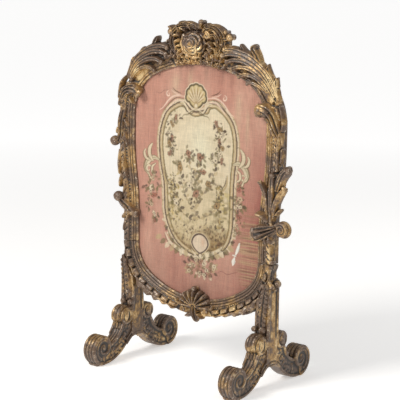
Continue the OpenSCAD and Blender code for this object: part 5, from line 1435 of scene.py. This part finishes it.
for rows in stems:
    stroke(rows, 2.6, BARK, 0.6)
    line, _ = smooth_curve([[x, z, 0] for x, z in rows], 13)
    for k, (x, z, _) in enumerate(line[1:]):
        for q in (-1, 1):
            leaflet(x + rng.uniform(-2, 2), z, rng.uniform(12, 22), math.pi / 2 - q * rng.uniform(0.3, 1.5), (OLIVE, SAND, BARK)[(k + q) % 3], rng.uniform(0.5, 0.85))
PINK, TAN = srgb(168, 126, 98), srgb(168, 138, 92)
for k, (x, z, r) in enumerate([(4, 686, 13), (-74, 646, 11), (66, 682, 11), (-42, 696, 10), (72, 540, 11), (-88, 532, 11), (-8, 572, 13), (38, 606, 9), (-36, 594, 10), (20, 640, 8)]):
    spray(x, z, 30, k * 1.7, 80 + k, (PINK, TAN, CREAM)[k % 3], OLIVE, 11)
    blossom(x, z, r, (PINK, TAN, CREAM)[k % 3], BARK, k)
# garlands of small brown flowers in the field's upper sides
for q in (-1, 1):
    for k, (dx, dz) in enumerate(((80, 800), (92, 780), (100, 758), (94, 738), (106, 722), (98, 704), (104, 686))):
        spray(m + q * dx, dz, 25, -1.3 * q + k, 120 + k + 20 * q, (PINK, TAN, CREAM)[k % 3], OLIVE if k % 2 else BARK, 8)

# the oval at the foot of the field
cx, cz = 10, 412
for grow, colour in ((11, SAND), (9, CREAM), (7, srgb(78, 48, 36)), (1, srgb(226, 206, 178))):
    shape = np.hypot((X - cx) / (28 + grow), (Z - cz) / (27 + grow)) * (1 + 0.22 * np.clip((cz - Z) / 30, 0, 1) * np.clip(np.abs(X - cx) / 20, 0, 1))
    lay(0.95 * np.clip((1 - shape) * 28 / 1.4 + 0.5, 0, 1), colour)
lay(0.5 * np.exp(-((X - cx - 12) / 8) ** 2 - ((Z - cz - 6) / 14) ** 2), srgb(212, 160, 132))
spot(cx + 2, 374, 9, BARK, 0.8)
spot(cx + 2, 374, 6, CREAM)
for q in (-1, 1):
    stroke([(cx + q * 40, 404), (cx + q * 36, 434), (cx + q * 14, 448), (cx - q * 4, 446)], 4.5, SAND, 0.9)
    stroke([(cx + q * 34, 392), (cx + q * 22, 378), (cx + q * 4, 366)], 4, CREAM)
    hooked(cx + q * 44, 384, 10, 0, 0.8, q, 2.5, BARK, 0.7)

# a cluster of flowers below it
for k in range(34):
    a, r = k * 2.4, 5.4 * math.sqrt(k)
    x, z = 16 + 2.0 * r * math.cos(a), 336 + 0.85 * r * math.sin(a)
    leaflet(x, z, 18, a, (OLIVE, SAND, BARK, CREAM)[k % 4], 0.75)
    if k % 2:
        blossom(x, z, 7.5, (srgb(206, 184, 150), PINK, WOOL)[k % 3], DIRT, a)

# %% Wear
worn = np.clip(1.25 - np.hypot((X - 208) / 56, (Z - 405) / 120), 0, 1) * np.clip((X - 138) / 30, 0, 1)
threads = clouds(80, 2.6, 14)
lay(np.clip(worn * 1.4, 0, 1) * np.clip((threads - 0.32) * 2.4, 0, 1) * 0.75, SAND)
lay(np.clip(worn * 1.4, 0, 1) * np.clip((clouds(60, 3.4, 15) - 0.55) * 4, 0, 1) * 0.75, srgb(118, 84, 62))
for rows, width in ([(164, 434), (158, 414), (150, 396)], 11), ([(146, 386), (140, 364)], 14), ([(138, 394), (152, 392)], 5):
    stroke(rows, width, WHITE_WOOL, 1.0)
    stroke([(x + 5, z + 1) for x, z in rows], 2.0, BARK, 0.5)
stroke([(-182, 884), (-160, 876), (-142, 886), (-122, 890)], 2.0, BARK, 0.55)
stroke([(77, 327), (98, 336), (120, 330), (158, 343)], 2.4, srgb(120, 62, 54), 0.7)
# single threads, a little lighter or darker than their neighbours
rows_ = np.repeat(rng.normal(0, 1, X.shape[0])[:, None], X.shape[1], 1)
slub = 0.012 * rows_ + 0.03 * (clouds(34, 2.0, 16) - 0.5) + 0.10 * (clouds(2.0, 30, 17) - 0.5) + 0.05 * (clouds(3, 3, 18) - 0.5)
paint *= (1 + slub)[..., None]
paint = np.clip(paint, 0, 1)
print("cartoon", X.shape, "points")

# %% Cutting a cloth to the strainer's outline
def within(px, pz, line):
    """Which points lie inside a closed line."""
    hit = np.zeros(px.shape, bool)
    for (xa, za), (xb, zb) in zip(line, np.roll(line, -1, 0)):
        hit ^= ((za > pz) != (zb > pz)) & (px < (xb - xa) * (pz - za) / (zb - za + 1e-12) + xa)
    return hit


def cut_cloth(name, px, pz, py, line):
    """A flat cloth on a grid of points, trimmed to a line; also says which points it uses."""
    held = within(px, pz, line)
    keep = held[:-1, :-1] | held[1:, :-1] | held[:-1, 1:] | held[1:, 1:]
    used = np.zeros(px.shape, bool)
    for di, dj in ((0, 0), (1, 0), (0, 1), (1, 1)):
        used[di:di + keep.shape[0], dj:dj + keep.shape[1]] |= keep
    qx, qz = px.copy(), pz.copy()
    for i, j in zip(*np.nonzero(used & ~held)):
        k = np.argmin((line[:, 0] - px[i, j]) ** 2 + (line[:, 1] - pz[i, j]) ** 2)
        qx[i, j], qz[i, j] = line[k]
    numbers = -np.ones(px.shape, int)
    numbers[used] = np.arange(used.sum())
    i, j = np.nonzero(keep)
    quads = np.stack([numbers[i, j], numbers[i, j + 1], numbers[i + 1, j + 1], numbers[i + 1, j]], 1)
    obj = mesh_object(name, np.stack([qx[used], py[used], qz[used]], 1) * MM, quads.tolist())
    print(name, len(quads), "cells,", round(sum(p.area for p in obj.data.polygons), 4), "square metres")
    return obj, used


# %% The tapestry's cloth
border = np.vstack([at(np.linspace(0, 7.999, 700), PANEL_U), at(np.linspace(7.999, 0, 700), PANEL_U) * [-1, 1]])
ripple = 0.55 * (clouds(120, 260, 31) - 0.5) + 0.25 * (clouds(40, 60, 32) - 0.5)
torn = np.exp(-(((X - 150) / 10) ** 2 + ((Z - 398) / 26) ** 2))
tapestry, used = cut_cloth("woven_panel", X, Z, SHEET_Y + ripple * 0.6 - 0.25 * torn, border)
layer = tapestry.data.color_attributes.new("cartoon", "FLOAT_COLOR", "POINT")
layer.data.foreach_set("color", np.hstack([paint[used], np.ones((used.sum(), 1))]).astype(np.float32).ravel())
bare = tapestry.data.attributes.new("worn", "FLOAT", "POINT")
bare.data.foreach_set("value", np.clip(worn * 1.5, 0, 1)[used].astype(np.float32))

# %% [markdown]
# The weave is fine ribs: each thread of weft passes over and under the warp.
# Wool is matt with a soft bloom at grazing angles, which sheen gives.

# %% Tapestry material
weave, gi, go = group("tapestry weave", {}, {"Color": "Color", "Height": "Float", "Roughness": "Float"})
n = Nodes(weave)
where = n.add("TexCoord").outputs["Object"]
axes = n.add("SeparateXYZ")
n.put(axes.inputs[0], where)
RIB = 2 * math.pi / 0.0013
warp = n.math("SINE", n.math("MULTIPLY", axes.outputs["X"], RIB))
weft = n.math("SINE", n.math("ADD", n.math("MULTIPLY", axes.outputs["Z"], RIB * 1.5), n.math("MULTIPLY", n.math("SIGN", warp), 1.57)))
knit = n.math("ADD", n.math("MULTIPLY", n.math("ABSOLUTE", warp), 0.5), n.math("MULTIPLY", weft, 0.5))
fuzz = n.noise(where, 1500, 2, 0.7)
slubs = n.noise(where, 150, 3, 0.6, stretch=(0.25, 1.0, 3.0))
ribs = n.noise(where, 150, 3, 0.6, stretch=(3.0, 1.0, 0.25))
painted = n.add("Attribute", attribute_name="cartoon").outputs["Color"]
worn_mask = n.add("Attribute", attribute_name="worn").outputs["Fac"]
tone = n.math("ADD", 0.80, n.math("MULTIPLY", knit, 0.16))
tone = n.math("ADD", tone, n.math("MULTIPLY", n.math("SUBTRACT", slubs, 0.5), 0.30))
tone = n.math("ADD", tone, n.math("MULTIPLY", n.math("SUBTRACT", ribs, 0.5), 0.50))
tone = n.math("ADD", tone, n.math("MULTIPLY", n.math("SUBTRACT", fuzz, 0.5), 0.15))
shade = n.add("CombineColor")
for key in ("Red", "Green", "Blue"):
    n.put(shade.inputs[key], tone)
n.put(go.inputs["Color"], n.mix(1.0, painted, shade.outputs[0], "MULTIPLY"))
rough_wear = n.math("MULTIPLY", worn_mask, n.math("MULTIPLY", n.noise(where, 120, 3, 0.7, stretch=(0.12, 1.0, 4.0)), 3.0))
n.put(go.inputs["Height"], n.math("ADD", n.math("ADD", knit, n.math("MULTIPLY", slubs, 1.2)), rough_wear))
n.put(go.inputs["Roughness"], 0.92)
PLAIN["tapestry"] = plain("tapestry", weave, 0.7, 0.0005)
wool = PLAIN["tapestry"].node_tree.nodes["Principled BSDF"]
wool.inputs["Sheen Weight"].default_value = 0.25
wool.inputs["Sheen Roughness"].default_value = 0.5
wool.inputs["Specular IOR Level"].default_value = 0.2
dress(tapestry, "tapestry")

# %% [markdown]
# ## The back
# A plain linen cloth is stretched over the back of the strainer, of the same
# outline as the tapestry. Small tacks hold it near its edge. It hangs a
# little slack between the members. The turn buttons and their screws have
# their sharp edges taken off.

# %% Backing cloth, tacks and softened edges
cloth_y = max((frame["nodes"]["lining"].matrix_world @ Vector(c)).y for c in frame["nodes"]["lining"].bound_box) / MM - 0.35
bx, bz = np.meshgrid(np.arange(-SIDE_X - 12, SIDE_X + 20, 8.0), np.arange(SIGHT_Z - 12, SIGHT_TOP + 20, 8.0))
slack = 0.15 * np.sin(bx / 31) * np.sin(bz / 47 + 0.6)
backing, _ = cut_cloth("backing_cloth", bx, bz, cloth_y + slack, border)
dress(backing, "lining")
rim = np.vstack([at(np.linspace(0.05, 7.95, 44), PANEL_U - 9), at(np.linspace(7.95, 0.05, 44), PANEL_U - 9) * [-1, 1]])
verts, faces = joined([ball((x, cloth_y + 0.1, z), (3.2, 1.0, 3.2), 6, 12) for x, z in rim])
tacks = mesh_object("backing_tacks", verts * MM, faces)
tacks.data.polygons.foreach_set("use_smooth", [True] * len(tacks.data.polygons))
tacks.data.materials.append(PLAIN["brass"])
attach(tacks, "screen")
for name, obj in frame["nodes"].items():
    if name.startswith("turn_button") or name == "button_screws":
        edge = obj.modifiers.new("softened", "BEVEL")
        edge.width, edge.segments, edge.limit_method, edge.angle_limit = 0.0005, 2, "ANGLE", math.radians(40)
print(len(rim), "tacks; cloth at", round(cloth_y, 2), "mm behind the middle plane")
